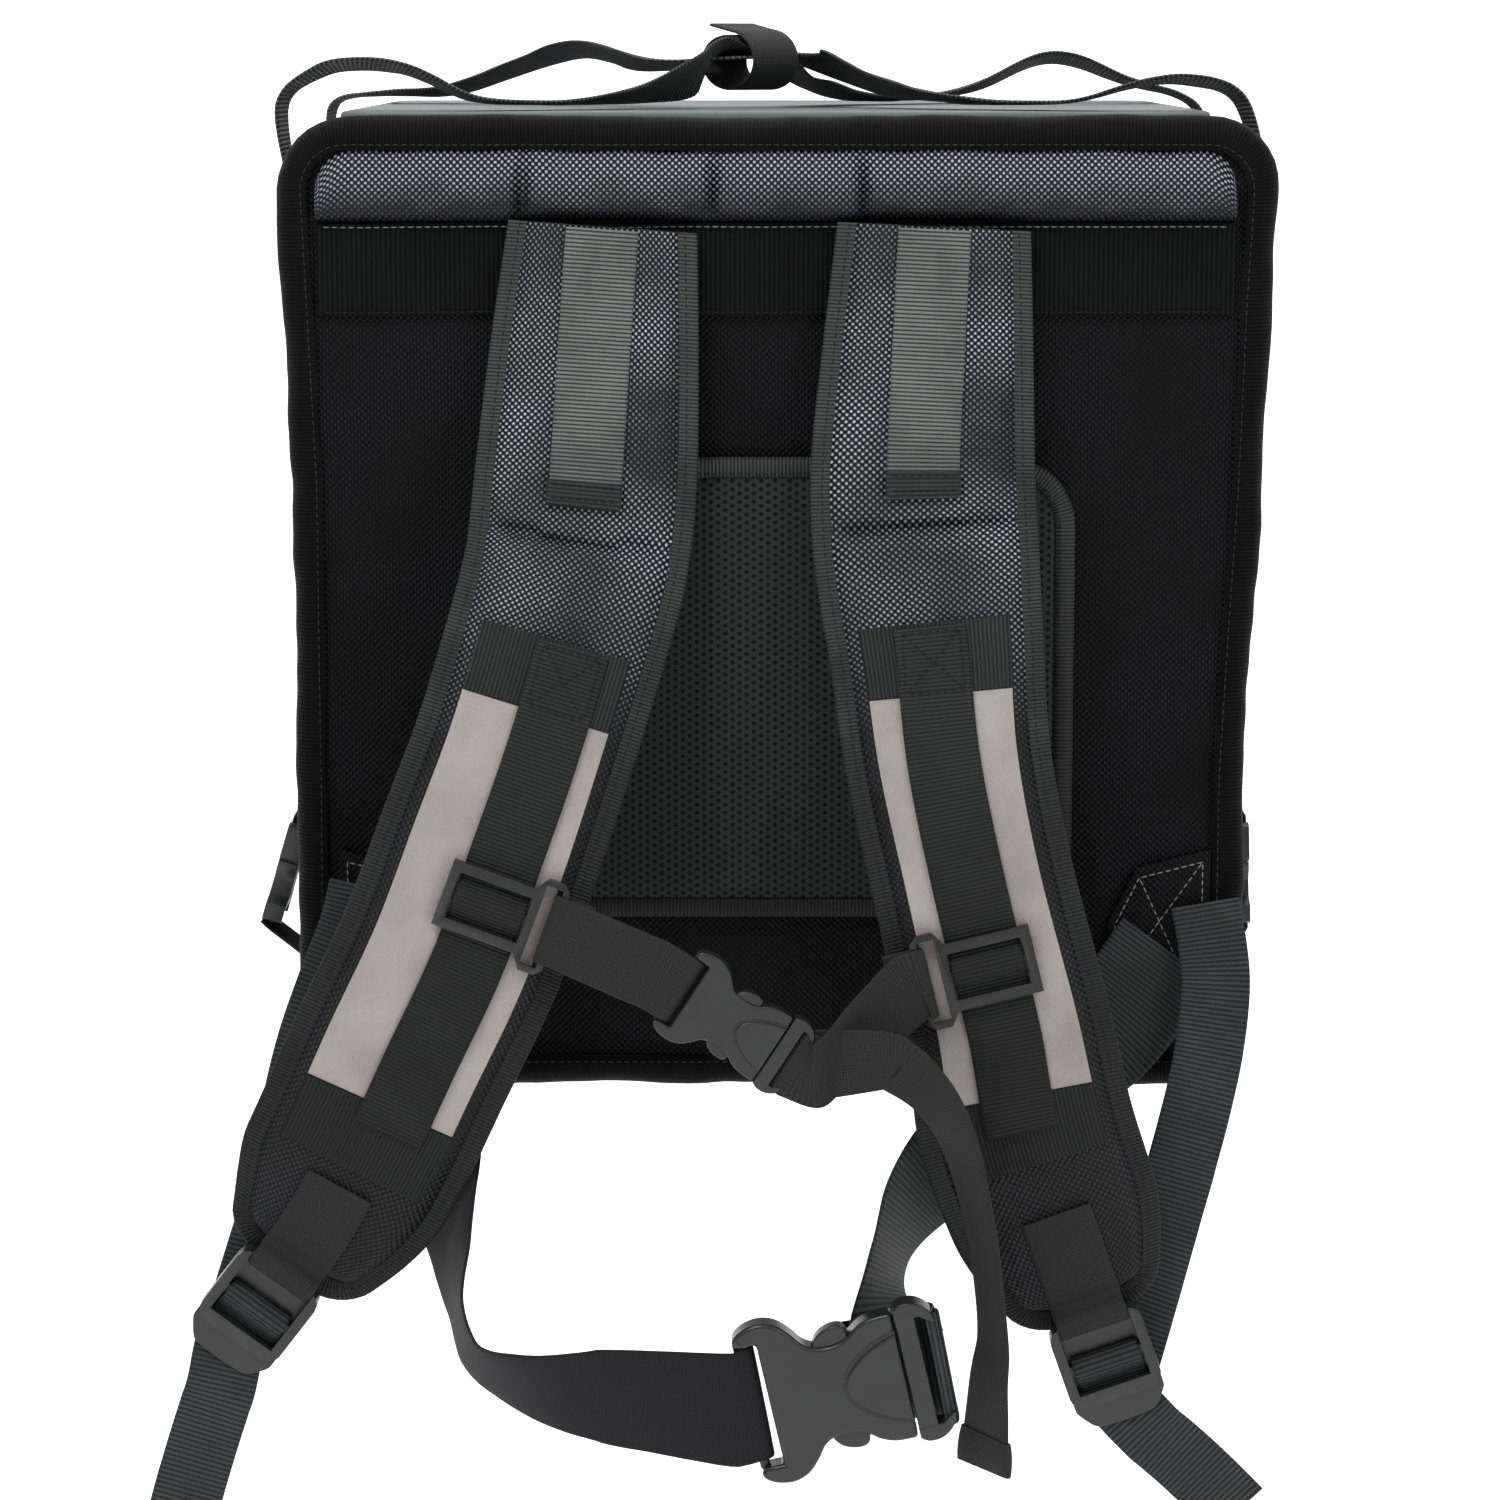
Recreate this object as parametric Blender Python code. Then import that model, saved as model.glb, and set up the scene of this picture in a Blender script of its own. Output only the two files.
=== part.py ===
"""Backpack food delivery bag, strap side at -Y, in metres, +Z up, origin at the centre of the back panel."""

import math

import bmesh
import bpy
from mathutils import Matrix, Vector

MM = 0.001
CLEARANCE = 0.4 * MM
CUT_STEP = 0.02 * MM

# Bag body
BAG_WIDTH = 416 * MM
BAG_HEIGHT = 419 * MM
BAG_DEPTH = 350 * MM
WALL = 6 * MM
CORNER_RADIUS = 28 * MM
EDGE_ROUND = 9 * MM
LID_THICKNESS = 4 * MM
LID_EDGE_INSET = 14 * MM
LID_RIM = 16 * MM
BINDING_THICKNESS = 2.4 * MM
BINDING_OVERLAP = 2 * MM

# Back panel
YOKE_HEIGHT = 39 * MM
YOKE_THICKNESS = 1.8 * MM
YOKE_TOP_DROP = 42.5 * MM
TOP_BAND_PUFF = 9 * MM
SEAM_GAP = 1.2 * MM
MESH_WIDTH = 259 * MM
MESH_HEIGHT = 202 * MM
MESH_CENTRE_DROP = 34 * MM
MESH_THICKNESS = 8 * MM
MESH_CORNER = 30 * MM
MESH_BINDING_WIDTH = 9 * MM
MESH_BINDING_THICKNESS = 4 * MM
GUSSET_THICKNESS = 2 * MM

# Shoulder straps
STRAP_WIDTH = 96 * MM
STRAP_THICKNESS = 10 * MM
STRAP_STAND_OFF = 63 * MM
STRAP_END_WIDTH = 58 * MM
STRAP_END_RADIUS = 16 * MM
STRAP_TAPER_LENGTH = 52 * MM
STRAP_BINDING_WIDTH = 10 * MM
PAD_SHOULDER = 4 * MM
STRAP_BINDING_THICKNESS = 4.5 * MM
STRAP_STEP = 16 * MM
WEBBING_THICKNESS = 1.5 * MM
REFLECTIVE_THICKNESS = 0.8 * MM
STRAP_WEBBING_WIDTH = 31 * MM
CROSS_BAND_HEIGHT = 31 * MM
TAB_WIDTH = 31 * MM

# Plastic parts for 30 mm webbing
SMALL_WEBBING = 30 * MM
LOCK_WIDTH = 41 * MM
LOCK_LENGTH = 38 * MM
LOCK_BAR = 4 * MM
LOCK_THICKNESS = 9 * MM
LOCK_LIFT = 3 * MM
SLIDER_HEIGHT = 29 * MM
SLIDER_RAIL = 4 * MM
SLIDER_BAR = 4.5 * MM
SLIDER_PLATE = 2.8 * MM
LOOP_DEPTH = 10 * MM
LOOP_BAR = 3 * MM
STERNUM_BUCKLE_LENGTH = 61 * MM
STERNUM_BUCKLE_WIDTH = 39 * MM
STERNUM_BUCKLE_THICKNESS = 10 * MM
STERNUM_BUCKLE_TILT = -33
STERNUM_FOLD = 14 * MM
WEBBING_APPROACH = 11 * MM
WRAP_LEAD = 3 * MM
WRAP_END = 1 * MM

# Waist belt
BELT_WEBBING = 50 * MM
BELT_BUCKLE_LENGTH = 84 * MM
BELT_BUCKLE_WIDTH = 65 * MM
BELT_BUCKLE_THICKNESS = 14 * MM
BELT_BUCKLE_TILT = 11
BELT_STAND_OFF = 110 * MM
BELT_BEHIND = 6 * MM

# Up shares of half the height: a side strap's top end, its buckle's middle and its bottom end
SIDE_STRAP_UPS = (0.72, -0.60, -0.86)

# Where the buckles' centres lie. side: share of half the width; up: share of half the height; out: share
# of the belt's stand-off
STERNUM_BUCKLE_SPOT = (-0.080, -0.765, 0.905)
BELT_BUCKLE_SPOT = (0.140, -1.494, 1.000)

# Side straps and handles
SIDE_WEBBING = 25 * MM
SIDE_STRAP_DEPTH = 62 * MM
SIDE_BUCKLE_LENGTH = 48 * MM
SIDE_BUCKLE_WIDTH = 33 * MM
SIDE_BUCKLE_THICKNESS = 9 * MM
SIDE_BUCKLE_LEAN = {"left": 17, "right": 2}
HANDLE_WEBBING = 30 * MM
HANDLE_ARCH = 24 * MM
HANDLE_SEWN_END = 16 * MM
WRAP_RADIUS = 11 * MM
WRAP_SPREAD = 11 * MM
WRAP_HEIGHT_SHARE = 0.992
HANDLE_STEP = WEBBING_THICKNESS + 1.32 * MM
WRAP_LENGTH = 24 * MM
WRAP_TAB = 18 * MM

HALF_WIDTH = BAG_WIDTH / 2
HALF_HEIGHT = BAG_HEIGHT / 2

# up: share of half the height; left, right: shares of half the width
SIDE_ROWS = (
    (-0.80, 0.999, 0.975),
    (-0.34, 0.996, 0.975),
    (-0.07, 0.996, 0.987),
    (0.27, 0.995, 1.004),
    (0.64, 1.010, 1.014),
    (0.84, 1.018, 1.024),
)

# x: share of half the width; depth: share of the puff; reach: share of the width
FOLD_ROWS = (
    (-0.98, 0.55, 0.030),
    (-0.87, 0.25, 0.045),
    (-0.52, 0.60, 0.022),
    (-0.13, 0.60, 0.018),
    (0.18, 0.60, 0.018),
    (0.98, 0.50, 0.030),
)

# side: share of half the width; up: share of half the height, from the gusset's top end at the binding,
# round its inner tip and back to the binding
GUSSET_ROWS = (
    (1.00, -0.50),
    (0.76, -0.54),
    (0.70, -0.66),
    (0.72, -0.78),
    (1.00, -0.88),
)

# side: share of half the width; up: share of half the height; out: share of the stand-off; wide: share
# of the strap's width
LEFT_STRAP_ROWS = (
    (-0.354, 0.792, 0.00, 0.84),
    (-0.372, 0.540, 0.07, 0.93),
    (-0.389, 0.286, 0.24, 0.99),
    (-0.406, 0.131, 0.36, 0.99),
    (-0.434, 0.014, 0.52, 0.98),
    (-0.507, -0.227, 0.76, 0.97),
    (-0.580, -0.432, 0.90, 0.99),
    (-0.663, -0.654, 0.98, 1.00),
    (-0.761, -0.859, 1.00, 1.00),
    (-0.855, -1.060, 0.98, 0.99),
    (-0.940, -1.215, 0.94, 0.96),
    (-1.018, -1.322, 0.91, 0.94),
)
RIGHT_STRAP_ROWS = (
    (0.324, 0.792, 0.00, 0.86),
    (0.312, 0.540, 0.07, 0.94),
    (0.301, 0.296, 0.24, 1.00),
    (0.309, 0.129, 0.36, 1.00),
    (0.329, -0.067, 0.54, 0.95),
    (0.349, -0.263, 0.78, 0.91),
    (0.399, -0.504, 0.90, 0.89),
    (0.473, -0.807, 0.99, 0.92),
    (0.513, -1.017, 1.00, 0.96),
    (0.585, -1.222, 0.96, 0.94),
    (0.655, -1.420, 0.92, 0.92),
)

# Up shares of half the bag's height at which the strap's layers start and stop
LEFT_LAYERS = {
    "hem": 0.225,
    "cross_top": -0.035,
    "reflective_end": -0.960,
    "tab_start": -1.130,
    "webbing_end": -1.000,
    "slider": -0.540,
    "webbing_shift": 8 * MM,
}
RIGHT_LAYERS = {
    "hem": 0.245,
    "cross_top": -0.004,
    "reflective_end": -0.940,
    "tab_start": -1.190,
    "webbing_end": -1.010,
    "slider": -0.675,
    "webbing_shift": -2 * MM,
}

# side and up: shares of half the bag; out: share of the belt's stand-off; twist in degrees
LEFT_ADJUST_ROWS = (
    (-0.865, -0.573, 0.060, 0),
    (-0.885, -0.655, 0.090, 0),
    (-0.928, -0.765, 0.150, 0),
    (-0.971, -0.888, 0.230, 0),
    (-1.000, -1.012, 0.330, 0),
    (-1.022, -1.146, 0.410, 0),
)
RIGHT_ADJUST_ROWS = (
    (0.904, -0.611, 0.060, 0),
    (0.918, -0.697, 0.130, 0),
    (0.921, -0.778, 0.210, 0),
    (0.904, -0.895, 0.300, 0),
    (0.875, -1.012, 0.380, 0),
    (0.830, -1.167, 0.450, 0),
)
LEFT_TAIL_ROWS = (
    (-1.144, -1.551, 0.673, 0),
    (-1.183, -1.670, 0.680, 0),
    (-1.216, -1.778, 0.690, 0),
    (-1.245, -1.885, 0.690, 0),
)
RIGHT_TAIL_ROWS = (
    (0.775, -1.650, 0.673, 0),
    (0.850, -1.715, 0.680, 0),
    (0.933, -1.795, 0.690, 0),
    (1.000, -1.866, 0.690, 0),
)
LEFT_BELT_ROWS = (
    (-0.817, -0.597, 0.034, 0),
    (-0.798, -0.716, 0.060, 0),
    (-0.769, -0.859, 0.130, 5),
    (-0.728, -1.002, 0.240, 15),
    (-0.690, -1.136, 0.410, 38),
    (-0.668, -1.260, 0.600, 62),
    (-0.655, -1.384, 0.740, 75),
    (-0.606, -1.480, 0.830, 60),
    (-0.480, -1.523, 0.900, 38),
    (-0.330, -1.532, 0.950, 18),
)
RIGHT_BELT_ROWS = (
    (0.830, -0.716, 0.034, 0),
    (0.702, -0.878, 0.120, 0),
    (0.538, -0.993, 0.260, -5),
    (0.404, -1.079, 0.390, -15),
    (0.300, -1.174, 0.490, -38),
    (0.240, -1.277, 0.570, -62),
    (0.220, -1.370, 0.640, -62),
    (0.232, -1.435, 0.670, -40),
)
TAIL_ROWS = (
    (0.230, -0.835, 0.93, 25),
    (0.318, -0.915, 0.93, 45),
    (0.375, -1.030, 0.93, 60),
    (0.420, -1.225, 0.92, 68),
    (0.440, -1.410, 0.90, 68),
    (0.434, -1.510, 0.89, 62),
    (0.425, -1.690, 0.89, 50),
)

# side: share of half the width; back: share of the depth; arch: share of the arch's height; twist in
# degrees
NEAR_HANDLE_ROWS = (
    (-1.040, 0.172, 0.05, 86),
    (-0.970, 0.172, 0.62, 82),
    (-0.890, 0.172, 0.78, 80),
    (-0.770, 0.180, 0.66, 80),
    (-0.640, 0.195, 0.16, 84),
    (-0.480, 0.225, 0.08, 88),
    (-0.310, 0.300, 0.22, 78),
    (-0.175, 0.350, 0.55, 60),
)
NEAR_HANDLE_RETURN_ROWS = (
    (0.120, 0.480, 0.75, 70),
    (0.250, 0.380, 0.36, 78),
    (0.420, 0.240, 0.12, 86),
    (0.620, 0.195, 0.10, 88),
    (0.770, 0.178, 0.42, 84),
    (0.880, 0.172, 0.50, 82),
    (0.985, 0.172, 0.10, 84),
)
FAR_HANDLE_ROWS = (
    (-1.030, 0.770, -0.10, 88),
    (-0.900, 0.760, 0.14, 86),
    (-0.740, 0.745, 0.22, 80),
    (-0.480, 0.660, 0.95, 74),
    (-0.330, 0.540, 0.85, 72),
    (-0.220, 0.430, 0.80, 86),
)
FAR_HANDLE_RETURN_ROWS = (
    (0.070, 0.530, 0.48, 72),
    (0.180, 0.640, 0.12, 80),
    (0.340, 0.700, 0.08, 86),
    (0.480, 0.745, 0.30, 82),
    (0.610, 0.765, 0.78, 80),
    (0.700, 0.770, 0.80, 80),
    (0.830, 0.770, 0.40, 84),
    (0.990, 0.770, -0.10, 88),
)
WRAP_SIDE = -0.055
WRAP_BACK = 0.430
WRAP_RISE = 0.88
WRAP_TURN = 30

# name: base colour, roughness, metallic
MATERIALS = {
    "weave": ((0.010, 0.010, 0.012), 0.55, 0.0),
    "lid": ((0.216, 0.254, 0.254), 0.60, 0.0),
    "webbing": ((0.022, 0.024, 0.025), 0.75, 0.0),
    "mesh": ((0.010, 0.010, 0.011), 0.85, 0.0),
    "reflective": ((0.352, 0.314, 0.305), 0.45, 0.0),
    "plastic": ((0.030, 0.030, 0.032), 0.35, 0.0),
}


def clear_scene():
    for item in list(bpy.data.objects):
        bpy.data.objects.remove(item, do_unlink=True)


def make_material(name):
    colour, roughness, metallic = MATERIALS[name]
    material = bpy.data.materials.new(name)
    material.use_nodes = True
    shader = material.node_tree.nodes["Principled BSDF"]
    shader.inputs["Base Color"].default_value = (*colour, 1.0)
    shader.inputs["Roughness"].default_value = roughness
    shader.inputs["Metallic"].default_value = metallic
    return material


def material_for(name):
    found = bpy.data.materials.get(name)
    return found if found else make_material(name)


def add_object(name, points, faces, material):
    """One closed mesh object with its faces pointing out."""
    mesh = bpy.data.meshes.new(name)
    mesh.from_pydata([tuple(point) for point in points], [], faces)
    form = bmesh.new()
    form.from_mesh(mesh)
    bmesh.ops.recalc_face_normals(form, faces=form.faces)
    form.to_mesh(mesh)
    form.free()
    item = bpy.data.objects.new(name, mesh)
    bpy.context.scene.collection.objects.link(item)
    mesh.materials.append(material_for(material))
    return item


def split_alike(face, step):
    """A strap's four-sided face in two triangles, cut the same way on its front and its back."""
    a, b, c, d = face
    if step < 2:
        return [(a, b, c), (a, c, d)]
    return [(a, b, d), (b, c, d)]


def loft(name, loops, material, closed=False, twisted=False):
    """Joins loops of as many points each, with end caps, or end to end into a ring.

    The faces of a twisted strap are cut in triangles, the same way on both of its sides.
    """
    count = len(loops[0])
    points = [point for loop in loops for point in loop]
    faces = []
    spans = len(loops) if closed else len(loops) - 1
    for row in range(spans):
        here = row * count
        there = ((row + 1) % len(loops)) * count
        for step in range(count):
            after = (step + 1) % count
            face = (here + step, here + after, there + after, there + step)
            faces += split_alike(face, step) if twisted else [face]
    if not closed:
        faces.append(tuple(range(count)))
        faces.append(tuple(range((len(loops) - 1) * count, len(loops) * count)))
    return add_object(name, points, faces, material)


def carve(item, cutter):
    """Cuts one solid out of another and hides the cutter."""
    cutter.hide_render = True
    cutter.display_type = "WIRE"
    cut = item.modifiers.new(cutter.name, "BOOLEAN")
    cut.operation = "DIFFERENCE"
    cut.object = cutter


def arc(centre, radius, start, end, steps):
    """Points on an arc, angles in degrees."""
    points = []
    for step in range(steps + 1):
        angle = math.radians(start + (end - start) * step / steps)
        points.append((centre[0] + radius * math.cos(angle), centre[1] + radius * math.sin(angle)))
    return points


def rounded_box(low, high, radius, steps=3):
    """A rectangle's outline with round corners, anticlockwise."""
    (left, bottom), (right, top) = low, high
    radius = min(radius, (right - left) / 2.01, (top - bottom) / 2.01)
    outline = arc((right - radius, bottom + radius), radius, -90, 0, steps)
    outline += arc((right - radius, top - radius), radius, 0, 90, steps)
    outline += arc((left + radius, top - radius), radius, 90, 180, steps)
    outline += arc((left + radius, bottom + radius), radius, 180, 270, steps)
    return outline


def blend_four(a, b, c, d, t):
    """The Catmull-Rom value between b and c."""
    cubic = 3 * b - a - 3 * c + d
    square = 2 * a - 5 * b + 4 * c - d
    return 0.5 * (2 * b + (c - a) * t + square * t**2 + cubic * t**3)


def smooth(rows, steps):
    """Catmull-Rom samples through rows of numbers."""
    first = [2 * a - b for a, b in zip(rows[0], rows[1])]
    last = [2 * a - b for a, b in zip(rows[-1], rows[-2])]
    padded = [first, *rows, last]
    samples = []
    for index in range(1, len(padded) - 2):
        before, start, end, after = padded[index - 1 : index + 3]
        for step in range(steps):
            t = step / steps
            samples.append([blend_four(*four, t) for four in zip(before, start, end, after)])
    samples.append(list(rows[-1]))
    return samples


class Place:
    """A local frame: across, along and face directions at an origin."""

    def __init__(self, origin, across, along):
        self.origin = Vector(origin)
        self.along = Vector(along).normalized()
        self.across = (Vector(across) - self.along * Vector(across).dot(self.along)).normalized()
        self.face = self.along.cross(self.across).normalized()

    def at(self, across, along, face):
        return self.origin + self.across * across + self.along * along + self.face * face

    def prism(self, name, outline, low, high, material):
        loops = [[self.at(u, v, height) for u, v in outline] for height in (low, high)]
        return loft(name, loops, material)

    def box(self, name, low, high, material="plastic"):
        outline = ((low[0], low[1]), (high[0], low[1]), (high[0], high[1]), (low[0], high[1]))
        return self.prism(name, outline, low[2], high[2], material)


def carve_boxes(item, place, boxes):
    """Cuts boxes out of a solid, each a hair larger than the last so that no two share a plane."""
    for index, (low, high) in enumerate(boxes):
        extra = CUT_STEP * (index + 1)
        low, high = [value - extra for value in low], [value + extra for value in high]
        carve(item, place.box(f"{item.name}_cut_{index}", low, high))


def default_across(tangent):
    return tangent.cross(Vector((0, 1, 0))).normalized()


def stations_from_rows(rows, to_point, steps=4):
    """Centre points and across directions of a strap from rows that end in its twist."""
    samples = smooth([[*to_point(row), row[-1]] for row in rows], steps)
    points = [Vector(sample[:3]) for sample in samples]
    stations = []
    for index, point in enumerate(points):
        tangent = points[min(index + 1, len(points) - 1)] - points[max(index - 1, 0)]
        tangent.normalize()
        turn = Matrix.Rotation(math.radians(samples[index][3]), 3, tangent)
        stations.append((point, turn @ default_across(tangent)))
    return stations


def stations_in_place(place, rows, across=1):
    """Stations from rows of along and face distances in a local frame."""
    return [(place.at(0, along, face), place.across * across) for along, face in rows]


def turn_rows(centre_along, centre_face, radius, start, end, steps=5):
    """A bend round a bar, angles in degrees from the along direction towards the face direction."""
    return arc((centre_along, centre_face), radius, start, end, steps)


def ribbon(name, stations, width, thickness, twisted=True):
    """A flat strap of rectangular section through its stations."""
    loops = []
    for index, (point, across) in enumerate(stations):
        after = stations[min(index + 1, len(stations) - 1)][0]
        before = stations[max(index - 1, 0)][0]
        tangent = (after - before).normalized()
        side = (across - tangent * across.dot(tangent)).normalized()
        face = tangent.cross(side).normalized()
        side, face = side * width / 2, face * thickness / 2
        loops.append([point - side - face, point + side - face, point + side + face, point - side + face])
    return loft(name, loops, "webbing", twisted=twisted)


def bag_point(side, up, out):
    return Vector((side * HALF_WIDTH, -out, up * HALF_HEIGHT))


def belt_row_point(row):
    return bag_point(row[0], row[1], row[2] * BELT_STAND_OFF)


# Bag body


def side_half_width(up, column):
    """Half the bag's width at a height share, for column 1 (left) or 2 (right)."""
    rows = SIDE_ROWS
    if up <= rows[0][0]:
        return rows[0][column] * HALF_WIDTH
    for low, high in zip(rows, rows[1:]):
        if up <= high[0]:
            share = (up - low[0]) / (high[0] - low[0])
            return (low[column] + (high[column] - low[column]) * share) * HALF_WIDTH
    return rows[-1][column] * HALF_WIDTH


def wall_skin(z, column):
    """Half the width to the middle of webbing that lies on the side wall or its rounded top corner."""
    half = side_half_width(z / HALF_HEIGHT, column)
    past = max(z - (HALF_HEIGHT - CORNER_RADIUS), 0)
    corner = CORNER_RADIUS - math.sqrt(CORNER_RADIUS**2 - past**2)
    return half - corner + CLEARANCE + WEBBING_THICKNESS / 2


def body_outline(inset):
    """The back panel's outline in X and Z, anticlockwise seen from the strap side."""
    radius = max(CORNER_RADIUS - inset, 1 * MM)
    top = HALF_HEIGHT - inset - radius
    right_low, left_low = (side_half_width(-1, column) - inset - radius for column in (2, 1))
    right_high, left_high = (side_half_width(1, column) - inset - radius for column in (2, 1))
    inner_rows = [row[0] for row in SIDE_ROWS[:-1]]
    outline = arc((right_low, -top), radius, -90, 0, 3)
    outline += [(side_half_width(up, 2) - inset, up * HALF_HEIGHT) for up in inner_rows]
    outline += arc((right_high, top), radius, 0, 90, 4)
    outline += arc((-left_high, top), radius, 90, 180, 4)
    outline += [(inset - side_half_width(up, 1), up * HALF_HEIGHT) for up in reversed(inner_rows)]
    outline += arc((-left_low, -top), radius, 180, 270, 3)
    return outline


def body_loop(inset, depth):
    return [Vector((x, depth, z)) for x, z in body_outline(inset)]


def build_shell():
    part_round = 0.3 * EDGE_ROUND
    near = [(EDGE_ROUND, 0), (part_round, part_round), (0, EDGE_ROUND)]
    stations = near + [(inset, BAG_DEPTH - depth) for inset, depth in reversed(near)]
    shell = loft("bag_shell", [body_loop(*station) for station in stations], "weave")
    inner = (
        (EDGE_ROUND, WALL),
        (WALL, WALL + EDGE_ROUND),
        (WALL, BAG_DEPTH - WALL - EDGE_ROUND),
        (EDGE_ROUND, BAG_DEPTH - WALL),
    )
    cavity = loft("bag_cavity", [body_loop(*station) for station in inner], "weave")
    carve(shell, cavity)
    reach = HALF_WIDTH - CORNER_RADIUS - LID_RIM / 2
    near_edge = LID_EDGE_INSET + LID_RIM
    outline = rounded_box((-reach, near_edge), (reach, BAG_DEPTH - near_edge), LID_RIM)
    levels = (HALF_HEIGHT - 3 * WALL, HALF_HEIGHT + WALL)
    opening = loft("lid_opening", [[Vector((x, y, z)) for x, y in outline] for z in levels], "weave")
    carve(shell, opening)


def build_lid():
    reach = HALF_WIDTH - CORNER_RADIUS + LID_RIM / 2
    outline = rounded_box((-reach, LID_EDGE_INSET), (reach, BAG_DEPTH - LID_EDGE_INSET), LID_RIM)
    low = HALF_HEIGHT + CLEARANCE
    levels = (low, low + LID_THICKNESS)
    loft("lid_panel", [[Vector((x, y, z)) for x, y in outline] for z in levels], "lid")


def build_edge_binding(name, face, inward):
    """The binding that wraps the edge of the back or the front panel."""
    thick, edge = BINDING_THICKNESS, EDGE_ROUND
    bend = 0.3 * edge
    section = (
        (edge + BINDING_OVERLAP, -CLEARANCE),
        (edge, -CLEARANCE),
        (bend - CLEARANCE, bend - CLEARANCE),
        (-CLEARANCE, edge),
        (-CLEARANCE, edge + BINDING_OVERLAP),
        (-CLEARANCE - thick, edge + BINDING_OVERLAP),
        (-CLEARANCE - thick, edge),
        (bend - CLEARANCE - 0.75 * thick, bend - CLEARANCE - 0.75 * thick),
        (edge, -CLEARANCE - thick),
        (edge + BINDING_OVERLAP, -CLEARANCE - thick),
    )
    rings = [body_loop(inset, face + inward * depth) for inset, depth in section]
    loops = [list(points) for points in zip(*rings)]
    loft(name, loops, "webbing", closed=True)


# Back panel


def fold_depth(x):
    """How much of the top band's puff is left at x, after its gathers."""
    left = 1.0
    for centre, depth, reach in FOLD_ROWS:
        distance = abs(x / HALF_WIDTH - centre) / (2 * reach)
        left -= depth * max(0.0, 1 - distance) ** 1.5
    return max(left, 0.3)


def yoke_top():
    return HALF_HEIGHT - YOKE_TOP_DROP


def build_top_band():
    low = yoke_top() + SEAM_GAP
    edge = EDGE_ROUND + BINDING_OVERLAP + CLEARANCE
    reach = HALF_WIDTH - edge - CLEARANCE
    columns = 30
    loops = []
    for column in range(columns + 1):
        x = reach * (2 * column / columns - 1)
        past = max(abs(x) - (HALF_WIDTH - CORNER_RADIUS), 0)
        inner = CORNER_RADIUS - edge
        drop = CORNER_RADIUS - edge - math.sqrt(max(inner**2 - past**2, 0))
        high = HALF_HEIGHT - edge - drop
        tall = high - low
        puff = TOP_BAND_PUFF * fold_depth(x)
        rows = ((0, 0), (0.55, 0), (0.92, 0.22), (1, 0.55), (0.8, 0.85), (0.4, 1), (0, 1))
        loops.append([Vector((x, -CLEARANCE - puff * out, low + tall * up)) for out, up in rows])
    loft("top_fabric_band", loops, "weave")


def build_yoke():
    reach = HALF_WIDTH - EDGE_ROUND - BINDING_OVERLAP - 2 * CLEARANCE
    panel = Place((0, 0, 0), (1, 0, 0), (0, 0, -1))
    low = (-reach, -yoke_top(), CLEARANCE)
    high = (reach, YOKE_HEIGHT - yoke_top(), CLEARANCE + YOKE_THICKNESS)
    panel.box("yoke_band", low, high, "webbing")


def mesh_outline(inset):
    """The mesh pad's outline, round at the top and nearly square at the bottom."""
    reach = MESH_WIDTH / 2 - inset
    top = MESH_HEIGHT / 2 - MESH_CENTRE_DROP - inset
    bottom = inset - MESH_HEIGHT / 2 - MESH_CENTRE_DROP
    radius = max(MESH_CORNER - inset, 1 * MM)
    low_radius = max(MESH_CORNER / 2 - inset, 1 * MM)
    outline = arc((reach - low_radius, bottom + low_radius), low_radius, -90, 0, 2)
    outline += arc((reach - radius, top - radius), radius, 0, 90, 4)
    outline += arc((radius - reach, top - radius), radius, 90, 180, 4)
    outline += arc((low_radius - reach, bottom + low_radius), low_radius, 180, 270, 2)
    return outline


def mesh_loop(inset, out):
    return [Vector((x, -out, z)) for x, z in mesh_outline(inset)]


def build_mesh_pad():
    inner = MESH_BINDING_WIDTH + CLEARANCE
    crown = MESH_THICKNESS - MESH_BINDING_THICKNESS
    rows = (
        (inner, CLEARANCE),
        (inner, MESH_BINDING_THICKNESS),
        (inner + crown, MESH_THICKNESS - 0.3 * crown),
        (inner + 3 * crown, MESH_THICKNESS),
    )
    loft("mesh_pad", [mesh_loop(*row) for row in rows], "mesh")
    section = (
        (0, CLEARANCE),
        (MESH_BINDING_WIDTH, CLEARANCE),
        (MESH_BINDING_WIDTH, MESH_BINDING_THICKNESS),
        (0, 0.8 * MESH_BINDING_THICKNESS),
    )
    rings = [mesh_loop(*row) for row in section]
    loft("mesh_pad_binding", [list(points) for points in zip(*rings)], "webbing", closed=True)


def build_gusset(side_name, side):
    """The sewn patch in a lower corner that holds the belt and the adjusting webbing."""
    narrowest = min(min(row[1:]) for row in SIDE_ROWS)
    root = narrowest * HALF_WIDTH - EDGE_ROUND - BINDING_OVERLAP - 2 * CLEARANCE
    corners = [(root, GUSSET_ROWS[0][1])]
    corners += [(side_share * HALF_WIDTH, up) for side_share, up in GUSSET_ROWS[1:-1]]
    corners.append((root, GUSSET_ROWS[-1][1]))
    outs = (CLEARANCE, CLEARANCE + GUSSET_THICKNESS)
    loops = [[Vector((side * x, -out, up * HALF_HEIGHT)) for x, up in corners] for out in outs]
    loft(f"corner_gusset_{side_name}", loops, "weave")


# Shoulder straps


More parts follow.
